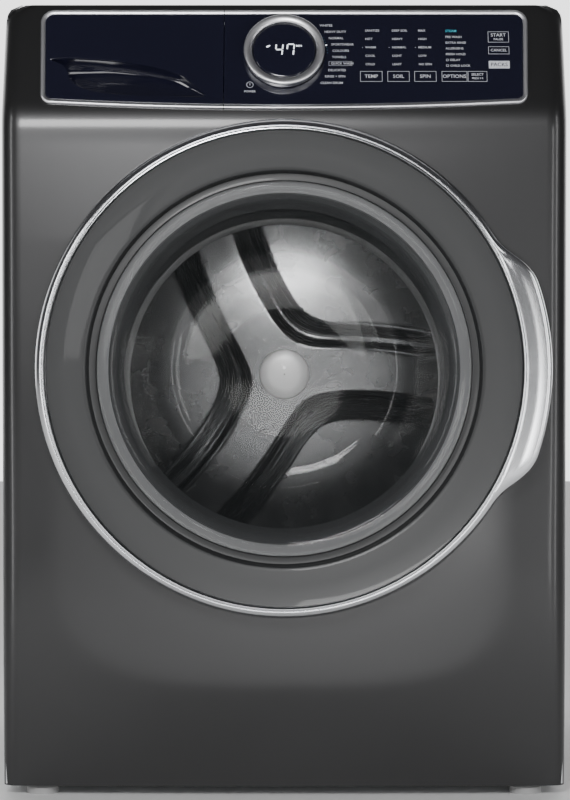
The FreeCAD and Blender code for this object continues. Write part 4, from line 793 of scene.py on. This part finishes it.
word("CANCEL", 262.7, 89.6, 5.2, "CENTER")
patch(262.7, 69.3, 25.5, 10.6)
word("PACKS", 262.7, 69.3, 7.0, "CENTER", PRINT_OUT + 0.00003, gloss_navy)
dot(-41.7, 41.0, 4.3, hole=3.7)
patch(-41.7, 41.6, 0.6, 3.2)
word("POWER", -41.7, 31.5, 4.0, "CENTER")
for step in range(30):
    turn = math.radians(118 - step * 4.0)
    dot(53.0 * math.cos(turn), 84.3 + 53.0 * math.sin(turn), 0.55, material=dim_ink)
dot(51.5, 97.0, 1.1, material=lit_white)

# Seven segment figures, each given by the segments that it lights.
SEGMENTS = {"top": (0, 7.6, 6.6, 1.7), "middle": (0, 0, 6.6, 1.7), "upper_left": (-4.1, 3.9, 1.7, 6.4),
            "upper_right": (4.1, 3.9, 1.7, 6.4), "lower_right": (4.1, -3.9, 1.7, 6.4)}
for middle, lit in ((-6.2, ("middle", "upper_left", "upper_right", "lower_right")),
                    (7.6, ("top", "upper_left", "upper_right", "lower_right"))):
    for name in lit:
        across, up, wide, high = SEGMENTS[name]
        patch(middle + across + 0.1 * up, 84.3 + up, wide, high, GLASS_OUT, lit_white,
            -0.1 if high > wide else 0.0)
word("MIN", 14.5, 89.5, 4.0, "LEFT", GLASS_OUT, lit_white)
clear_selection()
bpy.ops.mesh.primitive_circle_add(vertices=24, radius=0.0027, fill_type="NGON")
bpy.ops.transform.resize(value=(1, 0.42, 1))
set_down("leaf_sign", -19.5, 89.0, GLASS_OUT, lit_white, 0.5)
clear_selection()
for piece in printed:
    piece.select_set(True)
bpy.context.view_layer.objects.active = printed[0]
bpy.ops.object.join()
printed[0].name = "printed_legends"
printed[0].data.name = "printed_legends"
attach(printed[0], "cabinet")


# ---- Inner and rear pieces -------------------------------------------------------------------
# Galvanised sheet, cast weights, moulded tub halves, rubber hoses and the drive keep their shapes.
zinc = mottled("zinc_sheet", (0.50, 0.51, 0.52), (0.60, 0.61, 0.62), 0.42, 0.12, 60.0, metallic=0.8)
plated = mottled("plated_steel", (0.50, 0.50, 0.51), (0.58, 0.58, 0.59), 0.32, 0.1, 30.0, metallic=0.95)
moulded = mottled("moulded_grey", (0.20, 0.205, 0.21), (0.25, 0.255, 0.26), 0.5, 0.08, 12.0, grain=0.1,
    grain_scale=1500.0)
cast = mottled("cast_weight", (0.26, 0.255, 0.25), (0.36, 0.355, 0.345), 0.85, 0.1, 90.0, grain=0.6,
    grain_scale=500.0)
black_rubber = mottled("black_rubber", (0.025, 0.025, 0.026), (0.04, 0.04, 0.042), 0.6, 0.1, 25.0,
    grain=0.2)
foot_grey = mottled("foot_grey", (0.30, 0.30, 0.30), (0.36, 0.36, 0.36), 0.5, 0.08, 60.0, grain=0.1)
white_nylon = mottled("white_nylon", (0.70, 0.70, 0.67), (0.76, 0.76, 0.73), 0.45, 0.08, 20.0, grain=0.05)
green_board = mottled("circuit_board", (0.02, 0.12, 0.05), (0.03, 0.16, 0.07), 0.4, 0.1, 80.0)
FINISHES = {
    zinc: ("rear_panel", "rear_access_cover", "base_pan", "spring_rails", "top_braces"),
    plated: ("hinge_bracket", "door_hinge_arm", "door_catch", "damper_cylinders", "damper_rods",
             "drum_bearings", "water_heater", "motor_rotor"),
    moulded: ("door_back_frame", "door_lock", "dispenser_housing", "tub_front", "tub_rear", "drain_outlet",
              "motor_controller", "pressure_switch", "drain_pump", "pump_impeller", "motor_housing"),
    cast: ("counterweight_upper", "counterweight_lower", "counterweight_back"),
    black_rubber: ("fill_hoses", "drain_hose", "drive_belt", "cord_gland"),
    foot_grey: ("foot_front_left", "foot_front_right", "foot_back_left", "foot_back_right"),
    white_nylon: ("inlet_valves", "drawer_tray"),
    green_board: ("control_board",),
}
for material, names in FINISHES.items():
    for name in names:
        dress(nodes[name], material)

# ---- Springs and tub hoses -------------------------------------------------------------------
# Close wound springs hang the tub from its rails; ribbed rubber hoses join it to the dispenser
# and to the pump.
spring_low, spring_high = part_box("tub_springs")
spring_y = (spring_low[1] + spring_high[1]) / 2
coils = []
for side in (-1, 1):
    spring_x = side * (spring_high[0] - 0.012)
    clear_selection()
    bpy.ops.mesh.primitive_circle_add(vertices=10, radius=0.0017, location=(0.0103, 0, 0),
        rotation=(math.pi / 2, 0, 0))
    coil = begin("spring_coil")
    screw = coil.modifiers.new("Winding", "SCREW")
    screw.axis = "Z"
    screw.screw_offset = 0.0068
    screw.iterations = 29
    screw.steps = 24
    screw.render_steps = 24
    apply_modifiers(coil)
    coil.data.transform(Matrix.Translation((spring_x, spring_y, 0.6685)))
    outward(coil)
    coils.append(coil)
    clear_selection()
    bpy.ops.mesh.primitive_cylinder_add(vertices=24, radius=0.0024, depth=spring_high[2] - spring_low[2],
                                        location=(spring_x, spring_y, (spring_high[2] + spring_low[2]) / 2))
    coils.append(begin("spring_stem"))
clear_selection()
for coil in coils:
    coil.select_set(True)
bpy.context.view_layer.objects.active = coils[0]
bpy.ops.object.join()
springs = coils[0]
springs.name = "hanging_springs"
springs.data.name = "hanging_springs"
smooth(springs, 50)
dress(springs, plated)
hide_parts("tub_springs")
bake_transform(springs)

hose_low, hose_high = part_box("dispenser_hose")
ribs = [(hose_low[2], 0.0150)]
for step in range(1, 24):
    share = step / 24
    ribs.append((hose_low[2] * (1 - share) + hose_high[2] * share, 0.0160 if step % 2 else 0.0142))
ribs += [(hose_high[2], 0.0150), (hose_high[2], 0.0128), (hose_low[2], 0.0128)]
dispenser_hose = lathe("ribbed_dispenser_hose", ribs, 0, steps=48)
dispenser_hose.data.transform(Matrix.Translation(((hose_low[0] + hose_high[0]) / 2,
    (hose_low[1] + hose_high[1]) / 2, 0))
                              @ Matrix.Rotation(math.pi / 2, 4, "X"))
smooth(dispenser_hose, 60)
dress(dispenser_hose, black_rubber)
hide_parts("dispenser_hose")
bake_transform(dispenser_hose)

sump_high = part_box("sump_hose")[1]
sump_y = sump_high[1] - 0.016
clear_selection()
bpy.ops.curve.primitive_nurbs_path_add()
path = bpy.context.object
route = ((0, sump_y, sump_high[2]), (0, sump_y, 0.150), (0, sump_y - 0.004, 0.098), (0.035, -0.205, 0.100),
         (sump_high[0], -0.205, 0.100))
for point, place in zip(path.data.splines[0].points, route):
    point.co = (*place, 1)
path.data.bevel_depth = 0.0155
path.data.bevel_resolution = 8
path.data.use_fill_caps = True
bpy.ops.object.convert(target="MESH")
sump_hose = begin("bent_sump_hose")
outward(sump_hose)
smooth(sump_hose, 60)
dress(sump_hose, black_rubber)
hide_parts("sump_hose")
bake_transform(sump_hose)

# ---- Stage -----------------------------------------------------------------------------------
# Plain pale floor, three soft boxes and the camera, almost square on and a little above.
clear_selection()
bpy.ops.mesh.primitive_plane_add(size=14, location=(0, 0, 0))
floor = begin("studio_floor")
pale, _, _ = finish_of("pale_floor", (0.88, 0.88, 0.88), 0.7)
dress(floor, pale)


def soft_box(name, place, aim, size, power):
    light = bpy.data.lights.new(name, "AREA")
    light.shape = "RECTANGLE"
    light.size, light.size_y = size
    light.energy = power
    item = bpy.data.objects.new(name, light)
    item.location = place
    item.rotation_euler = (Vector(aim) - Vector(place)).to_track_quat("-Z", "Y").to_euler()
    bpy.context.scene.collection.objects.link(item)


soft_box("front_soft_box", (-0.45, -3.2, 1.65), (0, 0, 0.6), (0.8, 0.7), 58)
soft_box("low_fill", (0.2, -3.7, 0.25), (0, 0, 0.5), (0.9, 0.4), 11)
soft_box("grip_strip", (1.55, -2.9, 0.6), (0, 0, 0.5), (0.3, 1.4), 9)
soft_box("left_strip", (-1.9, -1.6, 0.9), (0, 0, 0.5), (0.3, 1.8), 12)
soft_box("right_strip", (1.9, -1.7, 0.9), (0, 0, 0.5), (0.3, 1.8), 10)
soft_box("drum_lamp", (0, -0.215, 0.655), (0, 0.17, 0.500), (0.10, 0.04), 0.7)
world = bpy.data.worlds.new("studio")
world.use_nodes = True
sky = Socket(world.node_tree, world.node_tree.nodes.new("ShaderNodeTexCoord").outputs["Generated"])
ahead = sky.node("ShaderNodeSeparateXYZ", {}, {"Vector": sky}, 1)
shade = ahead.node("ShaderNodeValToRGB", {"stops": ((0.0, (0.016, 0.016, 0.017, 1)),
    (0.35, (0.02, 0.02, 0.021, 1)),
                                                    (0.75, (0.95, 0.95, 0.95, 1)))}, {"Fac": ahead}, 0)
feed(shade, world.node_tree.nodes["Background"].inputs["Color"])
world.node_tree.nodes["Background"].inputs["Strength"].default_value = 2.6
bpy.context.scene.world = world

VIEW_FAR = 3.4
VIEW_HIGH = 0.485
VIEW_DOWN = math.radians(1.35)
FRAME_HIGH = 0.972
camera_data = bpy.data.cameras.new("camera")
camera_data.sensor_fit = "VERTICAL"
camera_data.sensor_height = 24
camera_data.lens = 24 * VIEW_FAR / FRAME_HIGH
camera = bpy.data.objects.new("camera", camera_data)
camera.location = (0.001, FRONT_Y - VIEW_FAR, VIEW_HIGH + VIEW_FAR * math.tan(VIEW_DOWN))
camera.rotation_euler = (math.pi / 2 - VIEW_DOWN, 0, 0)
bpy.context.scene.collection.objects.link(camera)
bpy.context.scene.camera = camera
